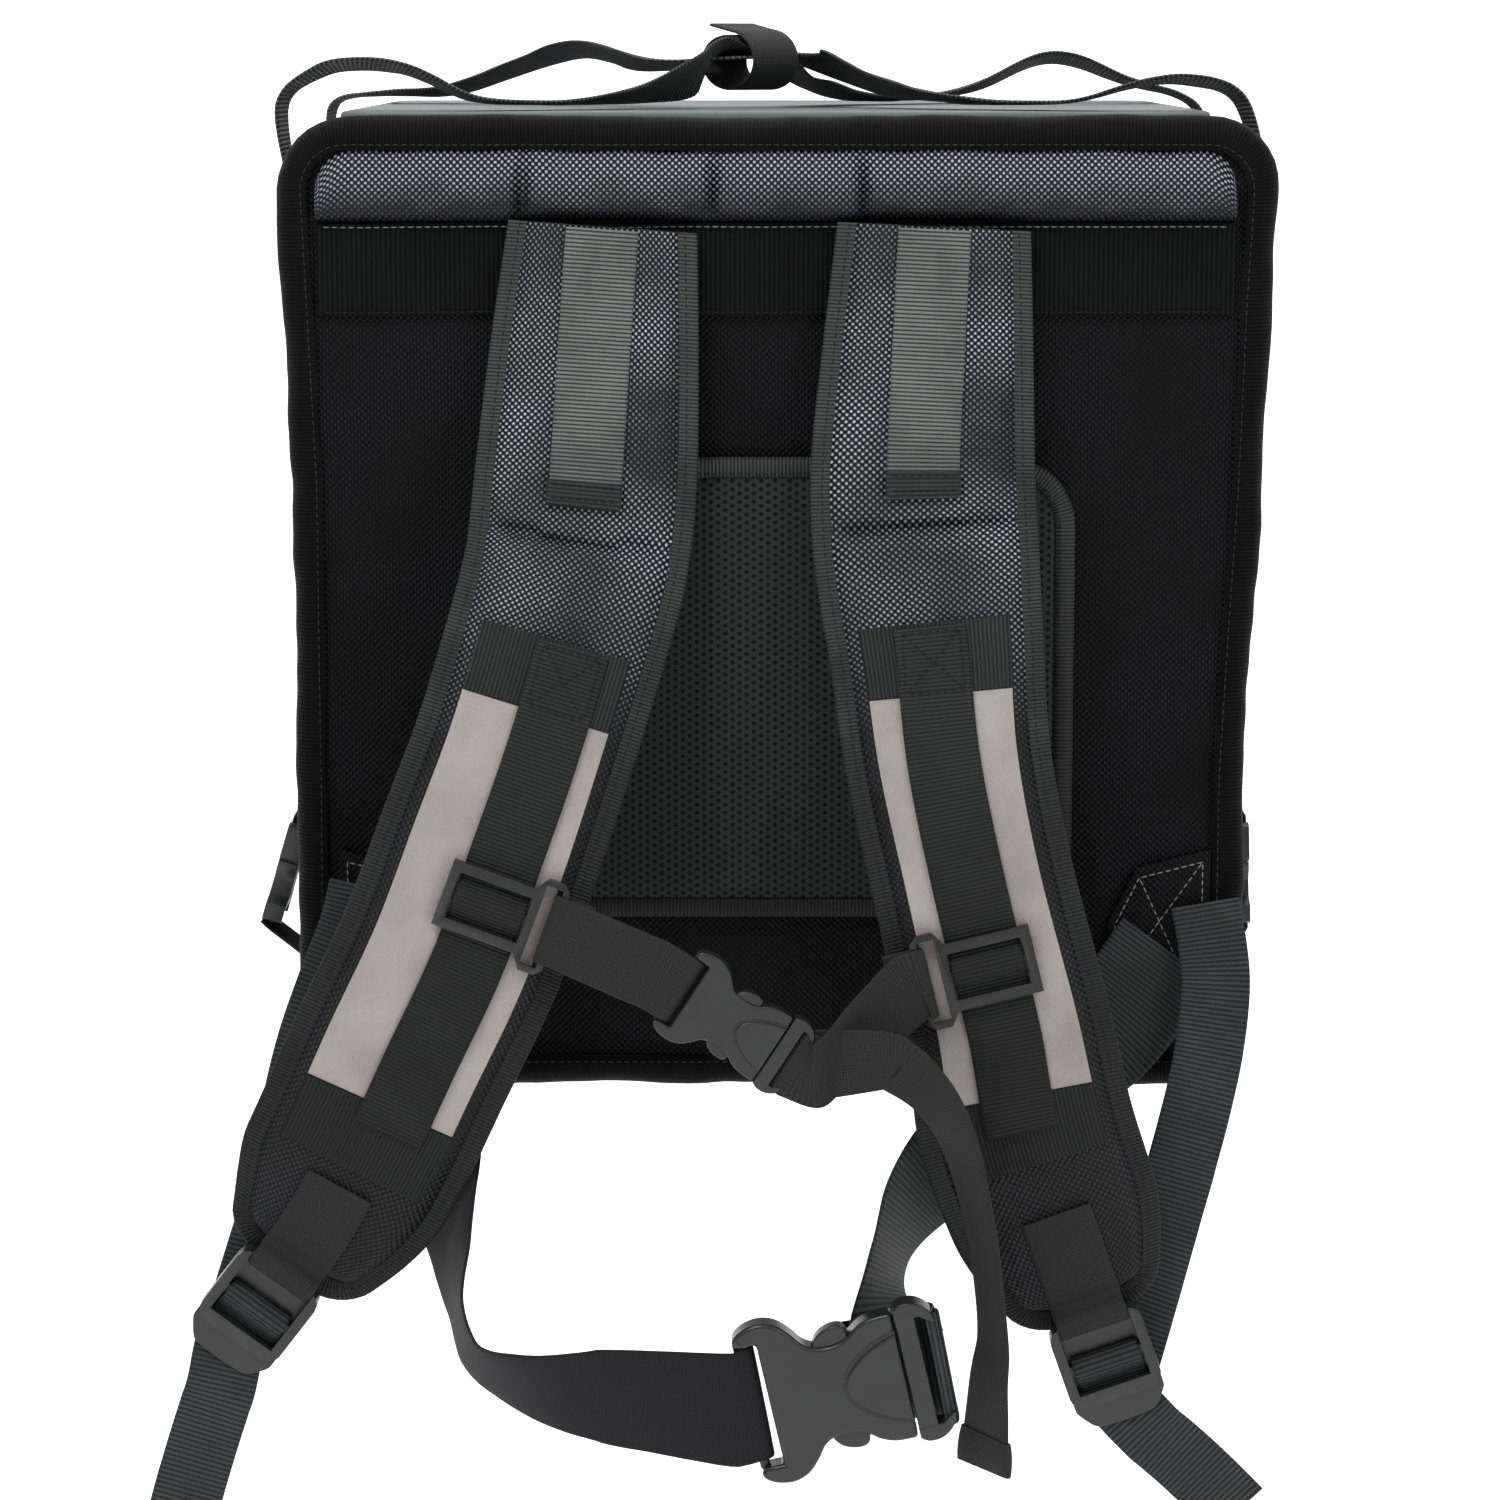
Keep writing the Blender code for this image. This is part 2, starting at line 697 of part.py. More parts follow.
class Strap:
    """A shoulder strap's centre line cut into short straight runs that all its layers share."""

    def __init__(self, rows):
        root = CLEARANCE + YOKE_THICKNESS + CLEARANCE + STRAP_THICKNESS / 2
        path = []
        for side, up, out, wide in rows:
            path.append([*bag_point(side, up, root + out * STRAP_STAND_OFF), wide * STRAP_WIDTH])
        dense = smooth(path, 12)
        points = [Vector(sample[:3]) for sample in dense]
        lengths = [0.0]
        for before, after in zip(points, points[1:]):
            lengths.append(lengths[-1] + (after - before).length)
        self.length = lengths[-1]
        count = round(self.length / STRAP_STEP)
        self.marks = [self.length * index / count for index in range(count + 1)]
        self.centres, self.widths = [], []
        for mark in self.marks:
            self.centres.append(self.read(lengths, points, mark))
            self.widths.append(self.read(lengths, [sample[3] for sample in dense], mark))
        self.places = []
        for index, centre in enumerate(self.centres):
            before = self.centres[max(index - 1, 0)]
            after = self.centres[min(index + 1, count)]
            tangent = (after - before).normalized()
            self.places.append(Place(centre, default_across(tangent), tangent))

    @staticmethod
    def read(lengths, values, mark):
        for index in range(1, len(lengths)):
            if mark <= lengths[index] or index == len(lengths) - 1:
                share = (mark - lengths[index - 1]) / (lengths[index] - lengths[index - 1])
                return values[index - 1] + (values[index] - values[index - 1]) * share
        return values[-1]

    def at(self, mark, across, height):
        """The point at a length along the strap, on the straight run between its marks."""
        points = [place.at(across, 0, height) for place in self.places]
        return self.read(self.marks, points, mark)

    def mark_at(self, up):
        """The length at which the centre line is at a height share."""
        level = up * HALF_HEIGHT
        for index in range(1, len(self.marks)):
            high, low = self.centres[index - 1].z, self.centres[index].z
            if low <= level:
                share = (high - level) / (high - low)
                return self.marks[index - 1] + (self.marks[index] - self.marks[index - 1]) * share
        return self.marks[-1]

    def marks_between(self, start, end):
        inner = [mark for mark in self.marks if start + MM < mark < end - MM]
        return [start, *inner, end]

    def half_width(self, mark):
        """Half the strap's outer width, narrower towards its lower end."""
        half = self.read(self.marks, self.widths, mark) / 2
        taper = max(0.0, mark - (self.length - STRAP_TAPER_LENGTH)) / STRAP_TAPER_LENGTH
        return half + (STRAP_END_WIDTH / 2 - half) * taper**1.6

    def edge(self, inset):
        """The right edge as rows of length and half width, from the top to the middle of the lower end."""
        radius = STRAP_END_RADIUS
        turn = self.length - radius
        rows = [(mark, self.half_width(mark) - inset) for mark in self.marks_between(0, turn)]
        corner = self.half_width(self.length) - radius
        start = rows[-1][1] - (radius - inset)
        for step in range(1, 5):
            angle = math.radians(90 * step / 4)
            slide = start + (corner - start) * step / 4
            reach = radius - inset
            rows.append((turn + reach * math.sin(angle), slide + reach * math.cos(angle)))
        return rows

    def layer(self, name, start, end, half, low, high, material):
        """A flat piece on the strap, its half width a number or a function of the length."""
        loops = []
        for mark in self.marks_between(start, end):
            reach = half(mark) if callable(half) else half
            corners = ((-reach, low), (reach, low), (reach, high), (-reach, high))
            loops.append([self.at(mark, across, height) for across, height in corners])
        return loft(name, loops, material)

    def cover_half(self, mark):
        """Half the width of what is sewn across the pad's flat front."""
        return self.half_width(mark) - STRAP_BINDING_WIDTH - CLEARANCE - PAD_SHOULDER


def build_strap_pad(name, strap):
    inset = STRAP_BINDING_WIDTH + CLEARANCE
    thick = STRAP_THICKNESS / 2
    loops = []
    for mark, half in strap.edge(inset):
        shoulder = max(half - PAD_SHOULDER, half * 0.5)
        section = [(-half, 0), (-shoulder, -thick), (shoulder, -thick)]
        section += [(-across, -height) for across, height in section]
        loops.append([strap.at(mark, across, height) for across, height in section])
    loft(f"strap_pad_{name}", loops, "weave")
    outer, inner = strap.edge(0), strap.edge(STRAP_BINDING_WIDTH)
    mirrored = [[(mark, -half) for mark, half in reversed(rows)] for rows in (outer, inner)]
    thick = STRAP_BINDING_THICKNESS / 2
    loops = []
    for (mark, half), (inner_mark, inner_half) in zip(outer + mirrored[0], inner + mirrored[1]):
        loops.append(
            [
                strap.at(mark, half, -0.6 * thick),
                strap.at(inner_mark, inner_half, -thick),
                strap.at(inner_mark, inner_half, thick),
                strap.at(mark, half, 0.6 * thick),
            ]
        )
    loft(f"strap_binding_{name}", loops, "webbing")


class LayerHeights:
    """Heights of the strap's layers above its middle surface."""

    first = STRAP_THICKNESS / 2 + CLEARANCE
    band_top = first + WEBBING_THICKNESS
    second = band_top + CLEARANCE
    second_top = second + WEBBING_THICKNESS
    bar_low = second
    bump = SLIDER_PLATE + CLEARANCE


def slider_bump(strap, layers):
    """How far the lower webbing rises over the slider's middle bar."""
    middle = strap.mark_at(layers["slider"])
    full, none = SLIDER_BAR / 2 + 2 * CLEARANCE, SLIDER_HEIGHT / 2 - SLIDER_BAR - CLEARANCE

    def height(mark):
        share = (none - abs(mark - middle)) / (none - full)
        return LayerHeights.second + LayerHeights.bump * min(max(share, 0.0), 1.0)

    return height, (middle - none, middle - full, middle + full, middle + none)


def build_strap_layers(name, strap, layers):
    first, band_top = LayerHeights.first, LayerHeights.band_top
    cover = strap.cover_half
    cross_start = strap.mark_at(layers["cross_top"])
    cross_end = cross_start + CROSS_BAND_HEIGHT
    lower_start = strap.mark_at(layers["reflective_end"])
    half_webbing = STRAP_WEBBING_WIDTH / 2
    lower_end = lower_start + CROSS_BAND_HEIGHT
    pieces = (
        ("strap_top_webbing", SEAM_GAP, strap.mark_at(layers["hem"]), half_webbing, band_top, "webbing"),
        ("cross_band_upper", cross_start, cross_end, cover, band_top, "webbing"),
        ("reflective_panel", cross_end + CLEARANCE, lower_start - CLEARANCE, cover,
         first + REFLECTIVE_THICKNESS, "reflective"),
        ("cross_band_lower", lower_start, lower_end, cover, band_top, "webbing"),
    )
    for piece, start, end, half, top, material in pieces:
        strap.layer(f"{piece}_{name}", start, end, half, first, top, material)
    height, extra = slider_bump(strap, layers)
    start = cross_start + 2 * MM
    end = min(strap.mark_at(layers["webbing_end"]), lower_end - 2 * MM)
    marks = sorted([*strap.marks_between(start, end), *extra])
    loops = []
    for mark in marks:
        low = height(mark)
        high = low + WEBBING_THICKNESS
        corners = ((-half_webbing, low), (half_webbing, low), (half_webbing, high), (-half_webbing, high))
        loops.append([strap.at(mark, layers["webbing_shift"] + across, level) for across, level in corners])
    loft(f"strap_webbing_{name}", loops, "webbing")


# Ladder locks and adjusting webbing


def lock_place(strap):
    """The lock's frame: past the strap's lower end, its along direction in line with the strap."""
    end = strap.places[-1]
    return Place(end.at(0, -2 * MM, LayerHeights.first + LOCK_LIFT), end.across, end.along)


def build_lock(name, strap):
    place = lock_place(strap)
    half, bar = LOCK_WIDTH / 2, LOCK_BAR
    rail = (LOCK_WIDTH - SMALL_WEBBING) / 2 - 1 * MM
    middle = LOCK_LENGTH / 2
    thick = bar / 2
    outline = rounded_box((-half, -bar / 2), (half, LOCK_LENGTH - bar / 2), 6 * MM)
    low, high = -LOCK_THICKNESS / 2, LOCK_THICKNESS / 2
    lock = place.prism(f"ladder_lock_{name}", outline, low, high, "plastic")
    slot = half - rail
    ends = LOCK_LENGTH - bar / 2
    carve_boxes(lock, place, (
        ((-slot, bar / 2, 2 * low), (slot, middle - bar / 2, 2 * high)),
        ((-slot, middle + bar / 2, 2 * low), (slot, ends - 1.5 * bar, 2 * high)),
        ((-slot, -bar, thick), (slot, middle + bar, 2 * high)),
        ((-slot, -bar, 2 * low), (slot, ends + bar, -thick)),
        ((-slot, ends - 2.5 * bar, 2 * low), (slot, ends + bar, 0.3 * thick)),
    ))
    return place


def lock_wrap_radius():
    """The bend of webbing round a lock's square bar."""
    return LOCK_BAR * math.sqrt(0.5) + CLEARANCE + WEBBING_THICKNESS / 2


def build_lock_tab(name, strap, layers):
    """The tab on the strap's front that loops round the lock's top bar and ends behind it."""
    place = lock_place(strap)
    start = strap.mark_at(layers["tab_start"])
    last = strap.length - STRAP_BINDING_WIDTH
    height = LayerHeights.first + WEBBING_THICKNESS / 2
    stations = [(strap.at(mark, 0, height), place.across) for mark in strap.marks_between(start, last)]
    radius = lock_wrap_radius()
    stations += stations_in_place(place, ((-1.2 * LOCK_BAR, radius),))
    stations += stations_in_place(place, turn_rows(0, 0, radius, 90, -90, 6))
    stations += stations_in_place(place, ((-2.0 * MM, -radius),))
    ribbon(f"lock_tab_{name}", stations, TAB_WIDTH, WEBBING_THICKNESS)


def build_adjust(name, strap, rows, tail_rows):
    """The webbing from the gusset up through the lock, over its middle bar and down as a free tail."""
    place = lock_place(strap)
    middle = LOCK_LENGTH / 2
    radius = lock_wrap_radius()
    under = -1.5 * WEBBING_THICKNESS - 1.5 * CLEARANCE
    stations = stations_from_rows(rows, belt_row_point, 3)
    inlet = (
        (LOCK_LENGTH - 2 * MM, -LOCK_THICKNESS),
        (middle + 2.5 * LOCK_BAR, -radius - 2.5 * MM),
        (middle + 0.75 * LOCK_BAR, -radius - CLEARANCE),
    )
    stations += stations_in_place(place, inlet, -1)
    over = turn_rows(middle, 0, radius, 270, 90, 8)
    stations += stations_in_place(place, over, -1)
    slope = ((middle + LOCK_BAR, radius - 1.2 * MM), (middle + 2.2 * LOCK_BAR, under + 2.2 * MM))
    stations += stations_in_place(place, slope, -1)
    outlet = ((LOCK_LENGTH - 1.2 * LOCK_BAR, under + 0.9 * MM), (LOCK_LENGTH + 1 * MM, under + 0.9 * MM))
    stations += stations_in_place(place, outlet, -1)
    tail = stations_from_rows(tail_rows, belt_row_point, 3)
    stations += [(point, -across) for point, across in tail]
    ribbon(f"adjust_webbing_{name}", stations, SMALL_WEBBING, WEBBING_THICKNESS, twisted=False)


# Sternum strap


def slider_place(strap, layers):
    """The slider's frame at the middle of the strap's lower webbing."""
    mark = strap.mark_at(layers["slider"])
    centre = strap.at(mark, layers["webbing_shift"], 0)
    ahead = strap.at(mark + SLIDER_HEIGHT / 2, layers["webbing_shift"], 0)
    aside = strap.at(mark, layers["webbing_shift"] + MM, 0)
    return Place(centre, aside - centre, ahead - centre)


def slider_levels():
    low = LayerHeights.bar_low - 0.1 * MM
    middle = low + SLIDER_PLATE
    level = LayerHeights.second_top + CLEARANCE
    return low, middle, level, level + SLIDER_PLATE


def build_slider(name, strap, layers, inward):
    """A frame whose middle bar is under the webbing and whose end bars are over it, with a side loop."""
    place = slider_place(strap, layers)
    low, bar_top, over_low, high = slider_levels()
    slot = STRAP_WEBBING_WIDTH / 2 + 0.8 * MM
    half = slot + SLIDER_RAIL
    tall = SLIDER_HEIGHT / 2
    loop_tall = SMALL_WEBBING / 2 + 2.3 * MM
    outer = half + LOOP_DEPTH
    edge_tall = loop_tall + LOOP_BAR
    outline = [(-half, -tall), (slot, -tall), (half, -edge_tall), (outer - LOOP_BAR, -edge_tall)]
    outline += [(outer, -loop_tall), (outer, loop_tall), (outer - LOOP_BAR, edge_tall)]
    outline += [(half, edge_tall), (slot, tall), (-half, tall)]
    outline = [(inward * across, along) for across, along in outline]
    slider = place.prism(f"sternum_slider_{name}", outline, low, high, "plastic")
    beam = SLIDER_BAR / 2
    loop_in, loop_out = half, outer - LOOP_BAR
    loop = sorted((inward * loop_in, inward * loop_out))
    under = sorted((inward * loop_in, inward * (outer + MM)))
    edge = 2 * tall
    carve_boxes(slider, place, (
        ((-slot, -tall + SLIDER_BAR, low - MM), (slot, -beam, high + MM)),
        ((-slot, beam, low - MM), (slot, tall - SLIDER_BAR, high + MM)),
        ((-slot, -beam - MM, bar_top), (slot, beam + MM, high + MM)),
        ((-slot, -edge, low - MM), (slot, -beam - MM, over_low)),
        ((-slot, beam + MM, low - MM), (slot, edge, over_low)),
        ((loop[0], -loop_tall, low - MM), (loop[1], loop_tall, high + MM)),
        ((under[0], -loop_tall, low - MM), (under[1], loop_tall, high - LOOP_BAR)),
    ))
    bar = place.at(inward * (outer - LOOP_BAR / 2), 0, high - LOOP_BAR / 2)
    return Place(bar, place.along * -inward, place.across * inward)


def buckle_place(side, up, out, tilt):
    """A buckle's frame: across points up the page, along points to the right and out of its male end."""
    angle = math.radians(tilt)
    along = Vector((math.cos(angle), 0, math.sin(angle)))
    across = Vector((-math.sin(angle), 0, math.cos(angle)))
    return Place(bag_point(side, up, out), across, along)


class Buckle:
    """A closed side-release buckle: a socket with a pocket, and a fork whose arms sit in the pocket."""

    def __init__(self, place, length, width, thick, webbing, socket_first):
        self.place, self.thick, self.webbing = place, thick, webbing
        self.length, self.width = length, width
        self.way = 1 if socket_first else -1
        self.bar = 0.055 * length
        self.parting = 0.10 * length

    def flip(self, outline):
        return [(across, self.way * along) for across, along in outline]

    def boxes(self, rows):
        """Turns boxes given from the socket's side to the buckle's own direction."""
        turned = []
        for low, high in rows:
            ends = sorted((self.way * low[1], self.way * high[1]))
            turned.append(((low[0], ends[0], low[2]), (high[0], ends[1], high[2])))
        return turned

    def bar_centre(self, socket):
        reach = self.length / 2 - self.bar / 2
        return -self.way * reach if socket else self.way * reach

    def build_socket(self, name):
        half, end, cut = self.width / 2, -self.length / 2, self.parting
        outline = [(0.72 * half, end), (0.98 * half, end + 0.05 * self.length)]
        outline.append((0.96 * half, end + 0.20 * self.length))
        outline += [(0.66 * half, end + 0.27 * self.length), (0.62 * half, end + 0.42 * self.length)]
        outline += [(0.80 * half, cut - 0.06 * self.length), (0.80 * half, cut)]
        outline += [(-across, along) for across, along in reversed(outline)]
        high = self.thick / 2
        socket = self.place.prism(name, self.flip(outline), -high, high, "plastic")
        inner, deep = 0.52 * half, 0.27 * self.thick
        slot = self.webbing / 2 + 0.8 * MM
        carve_boxes(socket, self.place, self.boxes((
            ((-inner, end + 0.30 * self.length, -deep), (inner, cut + MM, deep)),
            ((-slot, end + self.bar, -self.thick), (slot, end + self.bar + 0.095 * self.length, self.thick)),
            ((-slot, end - MM, 0.5 * self.bar), (slot, end + self.bar + MM, self.thick)),
            ((-slot, end - MM, -self.thick), (slot, end + self.bar + MM, -0.5 * self.bar)),
        )))

    def build_fork(self, name):
        half, end, cut = self.width / 2, self.length / 2, self.parting + CLEARANCE
        outline = [(0.80 * half, cut), (0.98 * half, cut + 0.04 * self.length)]
        outline += [(0.98 * half, end - 0.05 * self.length), (0.72 * half, end)]
        inner, deep = 0.52 * half - CLEARANCE, 0.27 * self.thick - CLEARANCE
        outline += [(-across, along) for across, along in reversed(outline)]
        root = cut + 0.12 * self.length
        high = self.thick / 2
        fork = self.place.prism(name, self.flip(outline), -high, high, "plastic")
        tip = -self.length / 2 + 0.33 * self.length
        tongue = [(inner, root), (inner, tip + 0.06 * self.length), (0.7 * inner, tip), (-0.7 * inner, tip)]
        tongue += [(-inner, tip + 0.06 * self.length), (-inner, root)]
        arms = self.place.prism(f"{name}_arms", self.flip(tongue), -deep, deep, "plastic")
        arms.hide_render = True
        arms.display_type = "WIRE"
        join = fork.modifiers.new("arms", "BOOLEAN")
        join.operation = "UNION"
        join.object = arms
        slot = self.webbing / 2 + 0.8 * MM
        carve_boxes(fork, self.place, self.boxes((
            ((-slot, end - self.bar - 0.095 * self.length, -self.thick), (slot, end - self.bar, self.thick)),
            ((-slot, end - self.bar - MM, 0.5 * self.bar), (slot, end + MM, self.thick)),
            ((-slot, end - self.bar - MM, -self.thick), (slot, end + MM, -0.5 * self.bar)),
        )))

    def end_place(self, socket):
        """A frame at an end's bar, its along direction pointing out of the buckle."""
        centre = self.bar_centre(socket)
        out = 1 if centre > 0 else -1
        place = self.place
        return Place(place.at(0, centre, 0), place.across * out, place.along * out)

    def wrap_radius(self):
        return self.bar * math.sqrt(0.5) + CLEARANCE + WEBBING_THICKNESS / 2


def build_sternum_buckle():
    side, up, out = STERNUM_BUCKLE_SPOT
    place = buckle_place(side, up, out * BELT_STAND_OFF, STERNUM_BUCKLE_TILT)
    buckle = Buckle(
        place, STERNUM_BUCKLE_LENGTH, STERNUM_BUCKLE_WIDTH, STERNUM_BUCKLE_THICKNESS, SMALL_WEBBING, True
    )
    buckle.build_socket("sternum_buckle_female")
    buckle.build_fork("sternum_buckle_male")
    return buckle


def oriented(place, rows, across):
    return [(place.at(0, along, face), across) for along, face in rows]


def hooked_end(wrap):
    """Rows for webbing that comes over a bar's front and ends just behind it."""
    return [(WRAP_LEAD, wrap), *turn_rows(0, 0, wrap, 90, 180, 3), (-wrap, -WRAP_END)]


def span(start, end, middles=()):
    """A smooth run of stations between two stations, through any middle points."""
    first, last = start, end
    rows = [first[0], *middles, last[0]]
    samples = smooth([list(point) for point in rows], 4)
    stations = []
    for index, sample in enumerate(samples):
        share = index / (len(samples) - 1)
        across = (first[1] * (1 - share) + last[1] * share).normalized()
        stations.append((Vector(sample), across))
    return stations[1:-1]


def sternum_run(loop, end, wrap):
    """Webbing that is doubled round a slider's loop bar and goes across to a buckle's bar."""
    radius = LOOP_BAR * math.sqrt(0.5) + CLEARANCE + WEBBING_THICKNESS / 2
    across = -end.across if loop.across.dot(end.across) < 0 else end.across
    around_loop = [(STERNUM_FOLD, -radius), *turn_rows(0, 0, radius, 270, 90, 6)]
    around_loop.append((LOOP_BAR + 2 * MM, radius + CLEARANCE))
    stations = oriented(loop, around_loop, loop.across)
    arrive = (end.at(0, WEBBING_APPROACH, wrap + CLEARANCE), across)
    stations += span(stations[-1], arrive)
    stations.append(arrive)
    return stations, across


def build_sternum_webbing(strap_loops, buckle):
    left_loop, right_loop = strap_loops
    near_end, far_end = buckle.end_place(True), buckle.end_place(False)
    wrap = buckle.wrap_radius()
    stations, across = sternum_run(left_loop, near_end, wrap)
    stations += oriented(near_end, hooked_end(wrap), across)
    ribbon("sternum_webbing_left", stations, SMALL_WEBBING, WEBBING_THICKNESS)
    stations, across = sternum_run(right_loop, far_end, wrap)
    around = [(buckle.bar, wrap), *turn_rows(0, 0, wrap, 90, 270, 7)]
    around.append((1.5 * buckle.bar, -wrap - CLEARANCE))
    stations += oriented(far_end, around, across)
    tail = stations_from_rows(TAIL_ROWS, belt_row_point, 4)
    flip = -1 if tail[0][1].dot(across) < 0 else 1
    ribbon("sternum_webbing_right", stations + [(point, flip * side) for point, side in tail],
           SMALL_WEBBING, WEBBING_THICKNESS)


# Waist belt


def upward(direction):
    return direction if direction.z > 0 else -direction


def build_belt():
    side, up, out = BELT_BUCKLE_SPOT
    place = buckle_place(side, up, out * BELT_STAND_OFF, BELT_BUCKLE_TILT)
    buckle = Buckle(place, BELT_BUCKLE_LENGTH, BELT_BUCKLE_WIDTH, BELT_BUCKLE_THICKNESS, BELT_WEBBING, False)
    buckle.build_socket("belt_buckle_female")
    buckle.build_fork("belt_buckle_male")
    wrap = buckle.wrap_radius()
    left_end, right_end = buckle.end_place(False), buckle.end_place(True)
    left = stations_from_rows(LEFT_BELT_ROWS, belt_row_point, 3)
    side = upward(left_end.across)
    left += oriented(left_end, [(WEBBING_APPROACH, wrap + CLEARANCE), *hooked_end(wrap)], side)
    ribbon("belt_webbing_left", left, BELT_WEBBING, WEBBING_THICKNESS)
    right = stations_from_rows(RIGHT_BELT_ROWS, belt_row_point, 3)
    side = upward(right_end.across)
    behind = -BELT_BUCKLE_THICKNESS / 2 - BELT_BEHIND
    rows = [(-3 * BELT_BEHIND, behind - 2 * MM), (-BELT_BEHIND, behind), (2 * MM, behind + 2 * MM)]
    rows += turn_rows(0, 0, wrap, -60, 90, 5) + [(-WRAP_END, wrap)]
    right += oriented(right_end, rows, side)
    ribbon("belt_webbing_right", right, BELT_WEBBING, WEBBING_THICKNESS)


# Side straps


def build_side_strap(name, side):
    """A webbing strap down the side wall with a closed buckle, and the short strap below it."""
    column = 1 if side < 0 else 2
    lean = math.radians(SIDE_BUCKLE_LEAN[name])
    top, middle, bottom = (share * HALF_HEIGHT for share in SIDE_STRAP_UPS)
    out = wall_skin(middle, column) + SIDE_BUCKLE_THICKNESS / 2 + SIDE_BUCKLE_LENGTH / 2 * math.sin(lean)
    along = (-side * math.sin(lean), 0, math.cos(lean))
    place = Place((side * out, SIDE_STRAP_DEPTH, middle), (0, side, 0), along)
    buckle = Buckle(place, SIDE_BUCKLE_LENGTH, SIDE_BUCKLE_WIDTH, SIDE_BUCKLE_THICKNESS, SIDE_WEBBING, True)
    buckle.build_socket(f"side_buckle_female_{name}")
    buckle.build_fork(f"side_buckle_male_{name}")
    wrap = buckle.wrap_radius()
    across = Vector((0, 1, 0))
    upper_end = middle + 0.75 * SIDE_BUCKLE_LENGTH
    levels = [top, *[row[0] * HALF_HEIGHT for row in reversed(SIDE_ROWS)], upper_end]
    upper_levels = [level for level in levels if upper_end <= level <= top]
    lower_levels = (bottom, bottom + 0.4 * (middle - SIDE_BUCKLE_LENGTH / 2 - bottom))
    for part, socket, heights in (("upper", False, upper_levels), ("lower", True, lower_levels)):
        end = buckle.end_place(socket)
        outward = 1 if end.face.x * side > 0 else -1
        stations = [(Vector((side * wall_skin(z, column), SIDE_STRAP_DEPTH, z)), across) for z in heights]
        rows = [(along, outward * face) for along, face in hooked_end(wrap)]
        stations += oriented(end, rows, across)
        ribbon(f"side_webbing_{part}_{name}", stations, SIDE_WEBBING, WEBBING_THICKNESS)


# Handles


def wrap_place():
    angle = math.radians(WRAP_TURN)
    level = HALF_HEIGHT + LID_THICKNESS + WRAP_RISE * HANDLE_ARCH
    origin = (WRAP_SIDE * HALF_WIDTH, WRAP_BACK * BAG_DEPTH, level)
    return Place(origin, (-math.sin(angle), math.cos(angle), 0), (math.cos(angle), math.sin(angle), 0))


def handle_row_point(row):
    base = HALF_HEIGHT + 2 * CLEARANCE + LID_THICKNESS + WEBBING_THICKNESS / 2
    return Vector((row[0] * HALF_WIDTH, row[1] * BAG_DEPTH, base + row[2] * HANDLE_ARCH))


def handle_end(side, back):
    """Rows up the side wall where a handle is sewn on, lowest first."""
    column = 1 if side < 0 else 2
    low = HALF_HEIGHT - CORNER_RADIUS
    rows = []
    for z in (low - HANDLE_SEWN_END, low):
        rows.append((side * wall_skin(z, column), back * BAG_DEPTH, z, 90))
    return rows


def build_handle(name, rows, return_rows, level):
    """One carrying strap: up to the wrap, through it, and down to the other side."""
    place = wrap_place()
    half = WRAP_LENGTH / 2 + 2 * MM
    through = [(*place.at(0, along, level), 90) for along in (-half, half)]
    table = handle_end(-1, rows[0][1])
    table += [(*handle_row_point(row), row[3]) for row in rows]
    table += through + [(*handle_row_point(row), row[3]) for row in return_rows]
    table += reversed(handle_end(1, return_rows[-1][1]))
    stations = stations_from_rows(table, lambda row: row[:3], 3)
    ribbon(name, stations, HANDLE_WEBBING, WEBBING_THICKNESS, twisted=False)


def build_wrap():
    """The band that is wound once round both handles, with its free tab at the top."""
    place = wrap_place()
    turns = 26
    stations = []
    for step in range(turns + 1):
        share = step / turns
        angle = math.radians(120 - 385 * share)
        radius = WRAP_RADIUS + (2 * CLEARANCE + WEBBING_THICKNESS) * share * 1.3
        wide = radius + WRAP_SPREAD
        point = place.at(wide * math.cos(angle), 0, radius * WRAP_HEIGHT_SHARE * math.sin(angle))
        stations.append((point, place.along))
    last, before = stations[-1][0], stations[-2][0]
    ahead = (last - before).normalized()
    stations.append((last + ahead * WRAP_TAB, place.along))
    ribbon("handle_wrap", stations, WRAP_LENGTH, WEBBING_THICKNESS)


def build():
    clear_scene()
    build_shell()
    build_lid()
    build_edge_binding("back_edge_binding", 0, 1)
    build_edge_binding("front_edge_binding", BAG_DEPTH, -1)
    build_top_band()
    build_yoke()
    build_mesh_pad()
    straps = {"left": Strap(LEFT_STRAP_ROWS), "right": Strap(RIGHT_STRAP_ROWS)}
    layers = {"left": LEFT_LAYERS, "right": RIGHT_LAYERS}
    adjust = {"left": (LEFT_ADJUST_ROWS, LEFT_TAIL_ROWS), "right": (RIGHT_ADJUST_ROWS, RIGHT_TAIL_ROWS)}
    loops = []
    for name, side in (("left", -1), ("right", 1)):
        build_gusset(name, side)
        build_strap_pad(name, straps[name])
        build_strap_layers(name, straps[name], layers[name])
        build_lock(name, straps[name])
        build_lock_tab(name, straps[name], layers[name])
        build_adjust(name, straps[name], *adjust[name])
        loops.append(build_slider(name, straps[name], layers[name], -side))
        build_side_strap(name, side)
    build_sternum_webbing(loops, build_sternum_buckle())
    build_belt()
    near_level = 0.38 * WRAP_RADIUS
    far_level = near_level - HANDLE_STEP
    build_handle("handle_near", NEAR_HANDLE_ROWS, NEAR_HANDLE_RETURN_ROWS, near_level)
    build_handle("handle_far", FAR_HANDLE_ROWS, FAR_HANDLE_RETURN_ROWS, far_level)
    build_wrap()


build()
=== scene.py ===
"""Looks of the backpack food delivery bag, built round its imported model. Lengths are in metres."""

import math
import random

import bmesh
import bpy
import numpy
from mathutils import Matrix, Vector, noise


